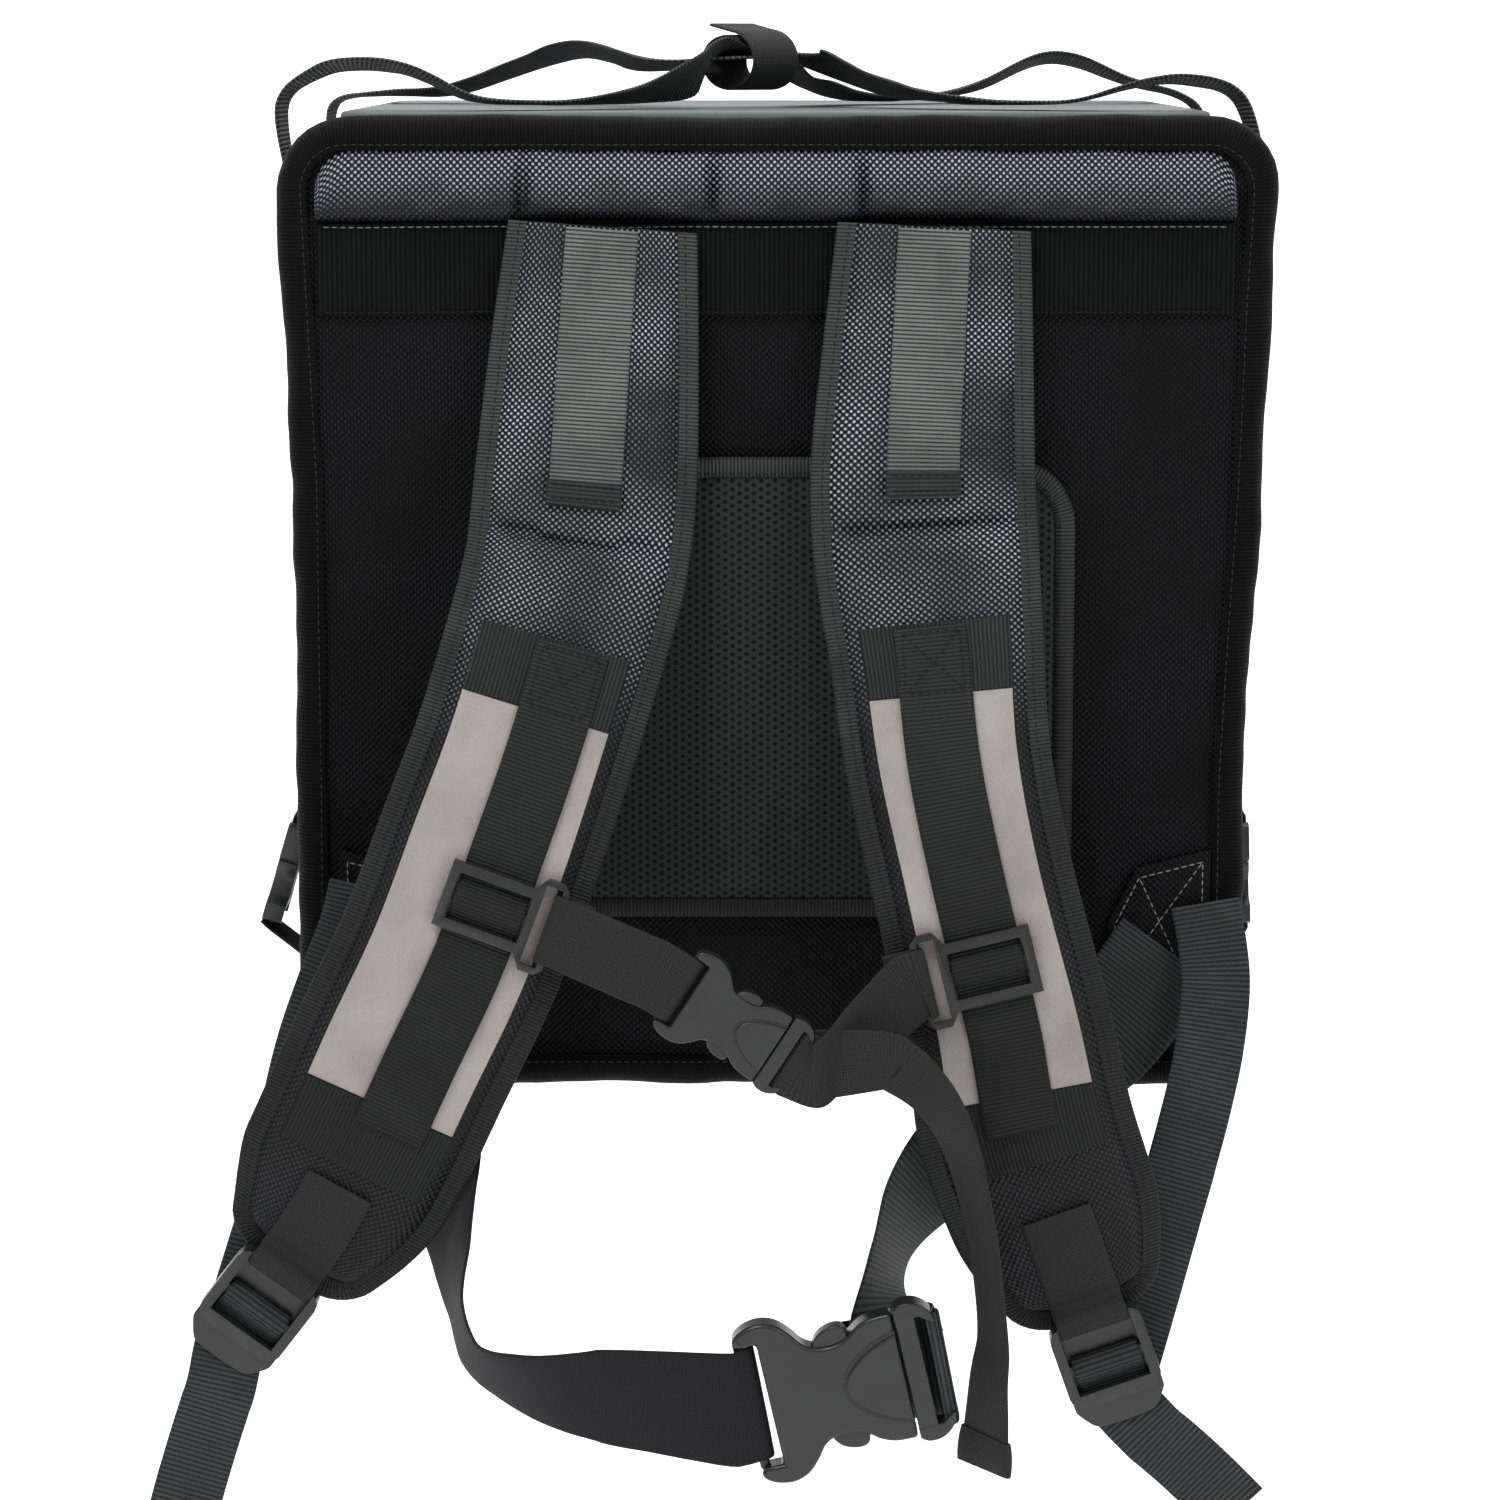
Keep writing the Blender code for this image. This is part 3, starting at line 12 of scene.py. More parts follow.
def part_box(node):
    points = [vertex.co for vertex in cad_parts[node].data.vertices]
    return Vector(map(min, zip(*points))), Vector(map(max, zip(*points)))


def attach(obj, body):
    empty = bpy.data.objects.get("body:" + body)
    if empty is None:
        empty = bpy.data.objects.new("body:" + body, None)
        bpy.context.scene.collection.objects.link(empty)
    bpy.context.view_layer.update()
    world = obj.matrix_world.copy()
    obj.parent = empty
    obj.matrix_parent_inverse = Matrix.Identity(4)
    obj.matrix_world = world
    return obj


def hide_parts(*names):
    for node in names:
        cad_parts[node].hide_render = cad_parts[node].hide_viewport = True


MM = 0.001
RIB_PITCH = 1.75 * MM
WEAVE_PITCH = 1.45 * MM
MESH_PITCH = 3.1 * MM
STITCH_LENGTH = 2.6 * MM
STITCH_PITCH = 3.6 * MM
STITCH_RADIUS = 0.32 * MM

CAMERA_PLACE = (-0.011, -1.8, 0.2465)
CAMERA_PITCH = 80.3
CAMERA_LENS = 100.44
FLOOR_LEVEL = -0.62
WORLD_LIGHT = 0.55
BACKDROP_LIGHT = 0.55

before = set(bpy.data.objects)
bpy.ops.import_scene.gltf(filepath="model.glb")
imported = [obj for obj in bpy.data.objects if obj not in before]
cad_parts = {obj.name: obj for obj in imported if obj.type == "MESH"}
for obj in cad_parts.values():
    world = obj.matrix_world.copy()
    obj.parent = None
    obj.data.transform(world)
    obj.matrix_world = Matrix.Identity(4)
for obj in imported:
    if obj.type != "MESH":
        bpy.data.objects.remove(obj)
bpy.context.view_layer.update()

shell_low, shell_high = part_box("bag_shell")
CORNER_RADIUS = 28 * MM
EDGE_ROUND = 9 * MM
BINDING_THICKNESS = 2.6 * MM
BINDING_REACH = 11.5 * MM

# up: share of half the height; left, right: shares of half the width
SIDE_ROWS = (
    (-0.80, 0.999, 0.975),
    (-0.34, 0.996, 0.975),
    (-0.07, 0.996, 0.987),
    (0.27, 0.995, 1.004),
    (0.64, 1.010, 1.014),
    (0.84, 1.018, 1.024),
)
HALF_HEIGHT = (shell_high.z - shell_low.z) / 2
HALF_WIDTH = (shell_high.x - shell_low.x) / (SIDE_ROWS[-1][1] + SIDE_ROWS[-1][2])
BAG_DEPTH = shell_high.y - shell_low.y

# x: share of half the width; depth: share of the puff; reach: share of the width; lean: slant of the crease
FOLD_ROWS = (
    (-0.98, 0.55, 0.030, 0.0),
    (-0.86, 0.35, 0.040, 0.6),
    (-0.80, 0.20, 0.020, -0.5),
    (-0.52, 0.85, 0.010, 0.6),
    (-0.49, 0.25, 0.030, -0.3),
    (-0.13, 0.85, 0.009, 0.4),
    (-0.10, 0.25, 0.028, -0.35),
    (0.18, 0.85, 0.009, -0.5),
    (0.22, 0.25, 0.026, -0.3),
    (0.62, 0.20, 0.030, 0.2),
    (0.98, 0.50, 0.030, 0.0),
)


# Small helpers


def wave(x, y, z, scale, seed=0.0):
    """Smooth noise from -1 to 1 at a scale in metres."""
    return noise.noise(Vector((x / scale + seed, y / scale - seed, z / scale + 2 * seed)))


def mix(low, high, share):
    return low + (high - low) * share


def clamp(value, low=0.0, high=1.0):
    return max(low, min(high, value))


def add_piece(name, points, faces, material, uvs=None, nodes=(), slot="webbing", smooth=True):
    """A mesh piece that rides on the bag. uvs gives a pair for each point, or for each corner of each face."""
    mesh = bpy.data.meshes.new(name)
    mesh.from_pydata([tuple(point) for point in points], [], faces)
    if uvs is not None:
        layer = mesh.uv_layers.new(name="cloth")
        if len(uvs) == len(points):
            for loop in mesh.loops:
                layer.data[loop.index].uv = uvs[loop.vertex_index]
        else:
            for loop, pair in zip(mesh.loops, uvs):
                layer.data[loop.index].uv = pair
    form = bmesh.new()
    form.from_mesh(mesh)
    bmesh.ops.recalc_face_normals(form, faces=form.faces)
    form.to_mesh(mesh)
    form.free()
    mesh.materials.append(material)
    piece = bpy.data.objects.new(name, mesh)
    bpy.context.scene.collection.objects.link(piece)
    if smooth:
        mesh.shade_smooth()
        mesh.set_sharp_from_angle(angle=math.radians(50))
    if nodes:
        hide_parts(*nodes)
    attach(piece, "root")
    return piece


def skin(name, rings, us, vs, material, closed=False, **facts):
    """Joins rings of points into a piece. us has one value a point, vs one a ring, and one more if closed."""
    count = len(rings[0])
    points = [point for ring in rings for point in ring]
    faces, uvs = [], []
    spans = len(rings) if closed else len(rings) - 1
    for row in range(spans):
        here, there = row * count, ((row + 1) % len(rings)) * count
        for step in range(count):
            after = (step + 1) % count
            faces.append((here + step, here + after, there + after, there + step))
            low, high = us[step], us[step + 1] if len(us) > count else us[after]
            uvs += [(low, vs[row]), (high, vs[row]), (high, vs[row + 1]), (low, vs[row + 1])]
    if not closed:
        for start, level in ((0, vs[0]), ((len(rings) - 1) * count, vs[len(rings) - 1])):
            faces.append(tuple(range(start, start + count)))
            uvs += [(us[step], level) for step in range(count)]
    return add_piece(name, points, faces, material, uvs, **facts)


def catmull(a, b, c, d, t):
    return 0.5 * (2 * b + (c - a) * t + (2 * a - 5 * b + 4 * c - d) * t**2 + (3 * b - a - 3 * c + d) * t**3)


PAD_TUCK = 7 * MM
LUMP_LENGTH = 15 * MM
LUMP_SWELL = 2.4


def resample(rows, spacing):
    """Rows of vectors along a path, spaced evenly by the length of the first vector's path."""
    dense = []
    for index in range(len(rows) - 1):
        four = [rows[max(index - 1, 0)], rows[index], rows[index + 1], rows[min(index + 2, len(rows) - 1)]]
        for step in range(8):
            dense.append([catmull(*values, step / 8) for values in zip(*four)])
    dense.append(rows[-1])
    lengths = [0.0]
    for before, after in zip(dense, dense[1:]):
        lengths.append(lengths[-1] + (after[0] - before[0]).length)
    count = max(2, round(lengths[-1] / spacing))
    made, place = [], 0
    for step in range(count + 1):
        mark = lengths[-1] * step / count
        while place < len(lengths) - 2 and lengths[place + 1] < mark:
            place += 1
        share = (mark - lengths[place]) / max(lengths[place + 1] - lengths[place], 1e-9)
        values = [a + (b - a) * share for a, b in zip(dense[place], dense[place + 1])]
        made.append([mark, *values])
    return made


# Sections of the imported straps


def rings_of(name, corners=4):
    """The cross-sections of a lofted node in order from its higher end, with their corners in order."""
    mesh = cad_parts[name].data
    keys, index = {}, []
    for vertex in mesh.vertices:
        key = tuple(round(value * 2e5) for value in vertex.co)
        index.append(keys.setdefault(key, len(keys)))
    points = [None] * len(keys)
    for vertex in mesh.vertices:
        points[index[vertex.index]] = vertex.co.copy()
    near = [set() for _ in points]
    sides = {}
    faces = []
    for polygon in mesh.polygons:
        face = [index[step] for step in polygon.vertices]
        if len(set(face)) < 3:
            continue
        for a, b in zip(face, face[1:] + face[:1]):
            near[a].add(b)
            near[b].add(a)
            sides.setdefault(frozenset((a, b)), []).append(len(faces))
        a, b, c = (points[step] for step in face[:3])
        faces.append((face, (b - a).cross(c - a).normalized()))
    found = [layers for layers in caps_to_layers(faces, sides, near, corners)]
    layers = max(found, key=lambda each: sum(points[step].z for step in each[0]))
    rings = []
    for layer in layers:
        ring = round_trip([points[step] for step in layer])
        rings.append(ring if not rings else line_up(rings[-1], ring))
    if corners == 4 and (rings[0][1] - rings[0][0]).length < (rings[0][2] - rings[0][1]).length:
        rings = [ring[1:] + ring[:1] for ring in rings]
    return rings


def caps_to_layers(faces, sides, near, corners):
    """Tries each flat group of faces as an end cap, and yields the layers of points that follow it."""
    touching = [set() for _ in faces]
    for pair in sides.values():
        for first in pair:
            touching[first].update(pair)
    grouped = set()
    for start in range(len(faces)):
        if start in grouped:
            continue
        group, queue = {start}, [start]
        while queue:
            here = queue.pop()
            for other in touching[here] - group:
                if faces[other][1].dot(faces[start][1]) > 0.99999:
                    group.add(other)
                    queue.append(other)
        grouped |= group
        cap = {step for face in group for step in faces[face][0]}
        if len(cap) != corners:
            continue
        layers, seen = [cap], set(cap)
        while True:
            following = set().union(*(near[step] for step in layers[-1])) - seen
            if len(following) != corners:
                break
            layers.append(following)
            seen |= following
        if len(seen) > 0.9 * len(near):
            yield layers


def round_trip(ring):
    """A ring's points in order round their middle."""
    middle = sum(ring, Vector()) / len(ring)
    arms = [point - middle for point in ring]
    longest = max(arms, key=lambda arm: arm.length)
    other = max(arms, key=lambda arm: arm.cross(longest).length)
    normal = longest.cross(other).normalized()
    first, second = longest.normalized(), normal.cross(longest.normalized())
    order = sorted(range(len(ring)), key=lambda step: math.atan2(arms[step].dot(second), arms[step].dot(first)))
    return [ring[step] for step in order]


def line_up(before, ring):
    """Turns or mirrors a ring so that its corners follow those of the ring before it."""
    count = len(ring)
    best = None
    for way in (1, -1):
        for turn in range(count):
            tried = [ring[(turn + way * step) % count] for step in range(count)]
            cost = sum((a - b).length_squared for a, b in zip(before, tried))
            if best is None or cost < best[0]:
                best = (cost, tried)
    return best[1]


def strap_rows(name):
    """Rows of centre, width vector and thickness vector along a strap of rectangular section."""
    rows = []
    for a, b, c, d in rings_of(name):
        rows.append([(a + b + c + d) / 4, (b + c - a - d) / 2, (c + d - a - b) / 2])
    return rows


# across: share of the width; height: share of the thickness
STRAP_SECTION = (
    (-0.500, 0.00),
    (-0.488, 0.36),
    (-0.455, 0.50),
    (-0.250, 0.50),
    (0.000, 0.50),
    (0.250, 0.50),
    (0.455, 0.50),
    (0.488, 0.36),
    (0.500, 0.00),
    (0.488, -0.36),
    (0.455, -0.50),
    (0.250, -0.50),
    (0.000, -0.50),
    (-0.250, -0.50),
    (-0.455, -0.50),
    (-0.488, -0.36),
)


def dress_strap(name, material, spacing=3.0 * MM, ripple=0.0, crosswise=False, rename=None, slot="webbing"):
    """Rebuilds a packed strap with round edges, finer bends and lengths along it for its weave."""
    rows = resample(strap_rows(name), spacing)
    seed = (sum(map(ord, name)) % 97) / 7.0
    rings, marks = [], []
    for mark, centre, width, thick in rows:
        lift = ripple * wave(mark, 0, 0, 28 * MM, seed)
        face = thick.normalized()
        ring = []
        for across, height in STRAP_SECTION:
            curl = ripple * 0.8 * wave(mark, across, 0, 17 * MM, seed + 3) * (2 * across) ** 2
            ring.append(centre + width * across + thick * height + face * (lift + curl))
        rings.append(ring)
        marks.append(mark)
    wide = rows[len(rows) // 2][2].length
    us = [across * wide for across, _ in STRAP_SECTION]
    piece = skin(rename or f"{name}_cloth", rings, us, marks, material, nodes=(name,), slot=slot)
    if crosswise:
        for item in piece.data.uv_layers["cloth"].data:
            item.uv = (item.uv[1], item.uv[0])
    return piece


# Stitches


class Thread:
    """Collects short stitches and makes one piece of them."""

    def __init__(self, name, material, slot="webbing"):
        self.name, self.material, self.slot = name, material, slot
        self.points, self.faces = [], []

    def stitch(self, start, end, normal):
        along = (end - start).normalized()
        side = along.cross(normal).normalized()
        lift = normal.normalized()
        base = len(self.points)
        middle = (start + end) / 2 + lift * STITCH_RADIUS * 0.9
        for centre, size in ((start, 0.35), (middle, 1.0), (end, 0.35)):
            for angle in range(5):
                turn = math.radians(72 * angle)
                arm = side * math.cos(turn) + lift * math.sin(turn)
                self.points.append(centre + arm * STITCH_RADIUS * size)
        for row in (0, 5):
            for step in range(5):
                after = (step + 1) % 5
                self.faces.append((base + row + step, base + row + after, base + row + 5 + after, base + row + 5 + step))
        self.faces.append(tuple(base + step for step in range(5)))
        self.faces.append(tuple(base + 10 + step for step in range(5)))

    def run(self, path, normals):
        """Stitches along a path of points, with a normal at each."""
        rows = resample([[point, normal] for point, normal in zip(path, normals)], STITCH_PITCH)
        for (_, start, normal), (_, end, _) in zip(rows, rows[1:]):
            reach = (end - start) * (STITCH_LENGTH / STITCH_PITCH)
            self.stitch(start, start + reach, normal)

    def finish(self):
        return add_piece(self.name, self.points, self.faces, self.material, slot=self.slot)


# Materials


class Cloth:
    """Builds one material's nodes."""

    def __init__(self, name, roughness, sheen=0.0, specular=0.5):
        self.material = bpy.data.materials.new(name)
        self.material.use_nodes = True
        self.tree = self.material.node_tree
        self.shader = self.tree.nodes["Principled BSDF"]
        self.shader.inputs["Roughness"].default_value = roughness
        self.shader.inputs["Specular IOR Level"].default_value = specular
        if sheen:
            self.shader.inputs["Sheen Weight"].default_value = sheen
            self.shader.inputs["Sheen Roughness"].default_value = 0.4

    def add(self, kind, **values):
        node = self.tree.nodes.new(kind)
        for key, value in values.items():
            setattr(node, key, value)
        return node

    def link(self, source, target):
        self.tree.links.new(source, target)

    def math(self, operation, first, second=None, third=None):
        node = self.add("ShaderNodeMath", operation=operation)
        for slot, value in enumerate((first, second, third)):
            if value is None:
                continue
            if isinstance(value, (int, float)):
                node.inputs[slot].default_value = value
            else:
                self.link(value, node.inputs[slot])
        return node.outputs[0]

    def coordinates(self, flat=True):
        """The lengths across and along the cloth, or the place on the bag, in metres."""
        if flat:
            source = self.add("ShaderNodeUVMap", uv_map="cloth").outputs[0]
        else:
            source = self.add("ShaderNodeTexCoord").outputs["Object"]
        parts = self.add("ShaderNodeSeparateXYZ")
        self.link(source, parts.inputs[0])
        return source, parts.outputs

    def height_share(self, low, high, new_low, new_high):
        """A value that changes with the height on the bag."""
        _, parts = self.coordinates(False)
        return self.range(parts[2], low, high, new_low, new_high)

    def noise(self, source, scale, detail=2.0):
        node = self.add("ShaderNodeTexNoise")
        node.inputs["Scale"].default_value = scale
        node.inputs["Detail"].default_value = detail
        self.link(source, node.inputs["Vector"])
        return node.outputs["Fac"]

    def colour(self, share, low, high, target="Base Color"):
        node = self.add("ShaderNodeMix", data_type="RGBA")
        node.inputs[6].default_value = (*low, 1)
        node.inputs[7].default_value = (*high, 1)
        self.link(share, node.inputs[0])
        self.link(node.outputs[2], self.shader.inputs[target])
        return node.outputs[2]

    def range(self, share, low, high, new_low=0.0, new_high=1.0):
        node = self.add("ShaderNodeMapRange")
        for slot, value in enumerate((low, high, new_low, new_high)):
            node.inputs[slot + 1].default_value = value
        self.link(share, node.inputs[0])
        return node.outputs[0]

    def bump(self, height, distance, strength=1.0):
        node = self.add("ShaderNodeBump")
        node.inputs["Distance"].default_value = distance
        node.inputs["Strength"].default_value = strength
        self.link(height, node.inputs["Height"])
        self.link(node.outputs[0], self.shader.inputs["Normal"])

    def roughness(self, share, low, high):
        self.link(self.range(share, 0, 1, low, high), self.shader.inputs["Roughness"])


def ribbed_material(name, dark, light, pitch=RIB_PITCH, depth=0.25 * MM, fuzz=0.35, specular=0.2,
                    top_light_fade=True):
    """Webbing whose ribs run across its length, with slack threads; the lighter rib crowns are the rib pattern with a
    painted highlight, paler in large patches and, if asked, brighter towards the top of the bag as painted top light.
    """
    cloth = Cloth(name, 0.62, sheen=0.02, specular=specular)
    source, (u, v, _) = cloth.coordinates()
    drift = cloth.noise(source, 160.0, 1.0)
    turn = cloth.math("MULTIPLY_ADD", v, 2 * math.pi / pitch, cloth.math("MULTIPLY", drift, 0.7))
    rib = cloth.math("MULTIPLY_ADD", cloth.math("SINE", turn), 0.5, 0.5)
    rib = cloth.math("POWER", rib, 0.7)
    thread = cloth.math("SINE", cloth.math("MULTIPLY", u, 2 * math.pi / (0.9 * MM)))
    rib = cloth.math("MULTIPLY_ADD", thread, 0.06, rib)
    grain = cloth.noise(source, 1500.0, 2.0)
    # Large patches where the painted highlight on the ribs is paler.
    highlight_patches = cloth.range(cloth.noise(source, 22.0, 3.0), 0.35, 0.7)
    share = cloth.math("MULTIPLY", rib, cloth.math("MULTIPLY_ADD", grain, 2 * fuzz, 1 - fuzz))
    share = cloth.math("MULTIPLY", share, cloth.math("MULTIPLY_ADD", highlight_patches, 0.5, 0.6))
    # Painted top light: the colour darkens towards the bottom of the bag and brightens towards its top.
    if top_light_fade:
        share = cloth.math("MULTIPLY", share, cloth.height_share(-0.13, 0.14, 0.30, 1.25))
    cloth.colour(share, dark, light)
    cloth.bump(cloth.math("MULTIPLY_ADD", grain, 0.35, rib), depth, 0.9)
    return cloth.material


def smooth_webbing_material(name, dark, light):
    """Soft, finely woven webbing whose ribs hardly show."""
    cloth = Cloth(name, 0.8, sheen=0.03, specular=0.15)
    source, (u, v, _) = cloth.coordinates()
    rib = cloth.math("SINE", cloth.math("MULTIPLY", v, 2 * math.pi / (1.3 * MM)))
    cord = cloth.math("SINE", cloth.math("MULTIPLY", u, 2 * math.pi / (1.5 * MM)))
    grain = cloth.noise(source, 1300.0, 3.0)
    share = cloth.math("MULTIPLY_ADD", rib, 0.12, cloth.math("MULTIPLY_ADD", cord, 0.06, grain))
    cloth.colour(share, dark, light)
    cloth.bump(share, 0.18 * MM, 0.8)
    return cloth.material


def weave_material(name, flat=True, dark=(0.0008, 0.0008, 0.001), glint=(0.13, 0.145, 0.18), shine=1.0, lit_edge=False, top_light_fade=False,
                   specular=0.22):
    """Coarse ballistic nylon: staggered thread crowns with a painted bluish glint, a highlight laid into the colour."""
    cloth = Cloth(name, 0.5, specular=specular)
    source, parts = cloth.coordinates(flat)
    wobble = cloth.noise(source, 90.0, 1.0)
    across = cloth.math("MULTIPLY_ADD", parts[0], math.pi / WEAVE_PITCH, cloth.math("MULTIPLY", wobble, 1.6))
    along = cloth.math("MULTIPLY_ADD", parts[1], math.pi / WEAVE_PITCH, cloth.math("MULTIPLY", wobble, -1.2))
    crown = cloth.math("MULTIPLY", cloth.math("SINE", across), cloth.math("SINE", along))
    crest = cloth.range(crown, 0.10, 0.85)
    # Large patches where the painted glint is stronger or weaker.
    zone = cloth.range(cloth.noise(source, 17.0, 3.0), 0.36, 0.64, 0.16, 1.0)
    # On the top band the painted glint is strong on the upper part, which faces the light, and weak below.
    if lit_edge:
        height = cloth.math("MULTIPLY_ADD", cloth.noise(source, 45.0, 2.0), 0.016, parts[0])
        zone = cloth.range(height, 0.013, 0.030, 0.10, 1.3)
    grain = cloth.noise(source, 900.0, 1.0)
    share = cloth.math("MULTIPLY", cloth.math("MULTIPLY", crest, zone), cloth.math("MULTIPLY_ADD", grain, 0.9, 0.5))
    # Painted top light: the glint fades towards the bottom of the bag.
    if top_light_fade:
        share = cloth.math("MULTIPLY", share, cloth.height_share(-0.045, 0.03, 0.05, 1.0))
    cloth.colour(cloth.math("MULTIPLY", share, shine), dark, glint)
    cloth.bump(crown, 0.30 * MM, 0.9)
    cloth.roughness(crest, 0.55, 0.36)
    return cloth.material


def mesh_material():
    """Air mesh: round holes in a staggered lattice of soft knitted walls."""
    cloth = Cloth("air_mesh", 0.85, sheen=0.0, specular=0.15)
    source, (u, v, _) = cloth.coordinates()
    step = 2 * math.pi / MESH_PITCH
    waves = []
    for angle in (0, 60, 120):
        turn = math.radians(angle)
        across = cloth.math("MULTIPLY", u, step * math.cos(turn))
        waves.append(cloth.math("COSINE", cloth.math("MULTIPLY_ADD", v, step * math.sin(turn), across)))
    total = cloth.math("ADD", cloth.math("ADD", waves[0], waves[1]), waves[2])
    hole = cloth.range(total, 0.2, 2.2)
    grain = cloth.noise(source, 1400.0, 2.0)
    wall = cloth.math("MULTIPLY", cloth.math("SUBTRACT", 1.0, hole), cloth.math("MULTIPLY_ADD", grain, 0.8, 0.4))
    cloth.colour(wall, (0.0006, 0.0006, 0.0006), (0.024, 0.026, 0.0255))
    cloth.bump(cloth.math("SUBTRACT", 1.0, hole), 0.7 * MM, 1.0)
    return cloth.material


def plastic_material(name="moulded_plastic", dark=(0.007, 0.007, 0.0075), light=(0.018, 0.0185, 0.019)):
    cloth = Cloth(name, 0.38, specular=0.42)
    source, _ = cloth.coordinates(False)
    cloud = cloth.noise(source, 55.0, 3.0)
    grain = cloth.noise(source, 2600.0, 2.0)
    cloth.colour(cloud, dark, light)
    cloth.roughness(cloud, 0.24, 0.38)
    cloth.bump(grain, 0.05 * MM, 0.5)
    return cloth.material


def coated_material(name, low, high, roughness, crease, specular=0.3):
    """Smooth coated cloth with faint creases; its colour follows the crease height, lighter on the crests and darker in
    the hollows as painted shade, with a fine grain.
    """
    cloth = Cloth(name, roughness, specular=specular)
    source, _ = cloth.coordinates(False)
    cloud = cloth.noise(source, 26.0, 5.0)
    grain = cloth.noise(source, 1100.0, 2.0)
    # Painted shade: the colour darkens where the crease bump sinks.
    cloth.colour(cloth.math("MULTIPLY_ADD", grain, 0.25, cloth.math("MULTIPLY", cloud, 0.8)), low, high)
    cloth.bump(cloth.math("MULTIPLY_ADD", grain, 0.08, cloud), crease)
    return cloth.material


WEBBING = ribbed_material("webbing_ribbed", (0.001, 0.001, 0.001), (0.034, 0.037, 0.036))
# Upper strap webbing: black webbing with a strong grey-green painted highlight from the top light.
TOP_WEBBING_LIT = ribbed_material("webbing_worn", (0.003, 0.003, 0.003), (0.150, 0.162, 0.155))
BINDING = ribbed_material("binding_ribbed", (0.001, 0.001, 0.001), (0.050, 0.054, 0.052), pitch=1.6 * MM)
# Edge binding: black tape, made far darker than the strap binding as painted shade.
EDGE_BINDING_SHADED = ribbed_material("edge_binding_shaded", (0.0003, 0.0003, 0.0003), (0.004, 0.004, 0.0045), 1.6 * MM, specular=0.05)
BELT = smooth_webbing_material("belt_webbing", (0.002, 0.002, 0.002), (0.018, 0.018, 0.021))
CHEST = smooth_webbing_material("chest_webbing", (0.003, 0.003, 0.003), (0.034, 0.034, 0.034))
ADJUST = ribbed_material("adjusting_webbing", (0.002, 0.002, 0.002), (0.040, 0.042, 0.044), 2.1 * MM, top_light_fade=False)
PAD_WEAVE = weave_material("pad_weave", glint=(0.46, 0.49, 0.59), top_light_fade=True)
PANEL_WEAVE = weave_material("panel_weave", glint=(0.017, 0.0165, 0.022), shine=0.7, specular=0.09)
BAND_WEAVE = weave_material("band_weave", glint=(0.34, 0.36, 0.46), lit_edge=True)
MESH = mesh_material()
PLASTIC = plastic_material()
# Near-black plastic: the painted shade in the groove round a buckle's raised panel.
GROOVE_SHADE_PLASTIC = plastic_material("groove_shade_plastic", (0.001, 0.001, 0.001), (0.002, 0.002, 0.002))
REFLECTIVE = coated_material("reflective_cloth", (0.13, 0.114, 0.110), (0.42, 0.38, 0.365), 0.45, 4.0 * MM)
LID = coated_material("lid_cloth", (0.085, 0.10, 0.10), (0.12, 0.14, 0.14), 0.6, 0.25 * MM)
THREAD = coated_material("thread", (0.0008, 0.0008, 0.0008), (0.005, 0.005, 0.005), 0.8, 0.05 * MM)
EDGE_THREAD = coated_material("edge_thread", (0.004, 0.004, 0.004), (0.024, 0.024, 0.026), 0.7, 0.05 * MM)
PALE_THREAD = coated_material("pale_thread", (0.12, 0.125, 0.12), (0.24, 0.25, 0.24), 0.6, 0.05 * MM)


# Bag body


def side_half_width(up, column):
    """Half the bag's width at a height share, for column 1 (left) or 2 (right), on a smooth line."""
    rows = SIDE_ROWS
    if up <= rows[0][0]:
        return rows[0][column] * HALF_WIDTH
    for low, high in zip(rows, rows[1:]):
        if up <= high[0]:
            share = (up - low[0]) / (high[0] - low[0])
            return mix(low[column], high[column], share) * HALF_WIDTH
    return rows[-1][column] * HALF_WIDTH


def outline(inset, corner_steps=8, side_steps=18):
    """The back panel's outline in X and Z, anticlockwise seen from the strap side, as dense points."""
    radius = max(CORNER_RADIUS - inset, 1 * MM)
    reach = HALF_HEIGHT - inset - radius
    made = []

    def corner(column, side, up, start):
        half = side_half_width(up, column) - inset - radius
        for step in range(corner_steps + 1):
            turn = math.radians(start + 90 * step / corner_steps)
            made.append((side * half + radius * math.cos(turn), up * reach + radius * math.sin(turn)))

    def edge(column, side, way):
        for step in range(1, side_steps):
            z = way * reach * (2 * step / side_steps - 1)
            made.append((side * (side_half_width(z / HALF_HEIGHT, column) - inset), z))

    def level(way):
        start, end = (made[-1][0], None)
        return start, end

    corner(2, 1, -1, -90)
    edge(2, 1, 1)
    corner(2, 1, 1, 0)
    top_start = made[-1]
    top_end = (-(side_half_width(1, 1) - inset - radius), top_start[1])
    made += [(mix(top_start[0], top_end[0], step / side_steps), top_start[1]) for step in range(1, side_steps)]
    corner(1, -1, 1, 90)
    edge(1, -1, -1)
    corner(1, -1, -1, 180)
    low_start, low_end = made[-1], made[0]
    made += [(mix(low_start[0], low_end[0], step / side_steps), low_start[1]) for step in range(1, side_steps)]
    return made


def body_ring(inset, depth, sink=0.0):
    ring = []
    for x, z in outline(inset):
        dent = sink * (0.5 + 0.5 * wave(x, depth, z, 90 * MM, 4.0))
        if abs(x) > abs(z) * HALF_WIDTH / HALF_HEIGHT:
            ring.append(Vector((x - math.copysign(dent, x), depth, z)))
        else:
            ring.append(Vector((x, depth, z - math.copysign(dent, z))))
    return ring


def panel_rings(depth, inward):
    """Rings from near the middle of a panel out to its edge."""
    rings = []
    for inset in (196, 180, 160, 140, 120, 104, 88, 72, 58, 46, 34, 24, 16, 11):
        ring = []
        for x, z in outline(inset * MM):
            sag = 1.6 * MM * clamp((inset - 11) / 30) * (0.5 + 0.5 * wave(x, 0, z, 70 * MM, 9.0 + depth))
            ring.append(Vector((x, depth + inward * sag, z)))
        rings.append(ring)
    return rings


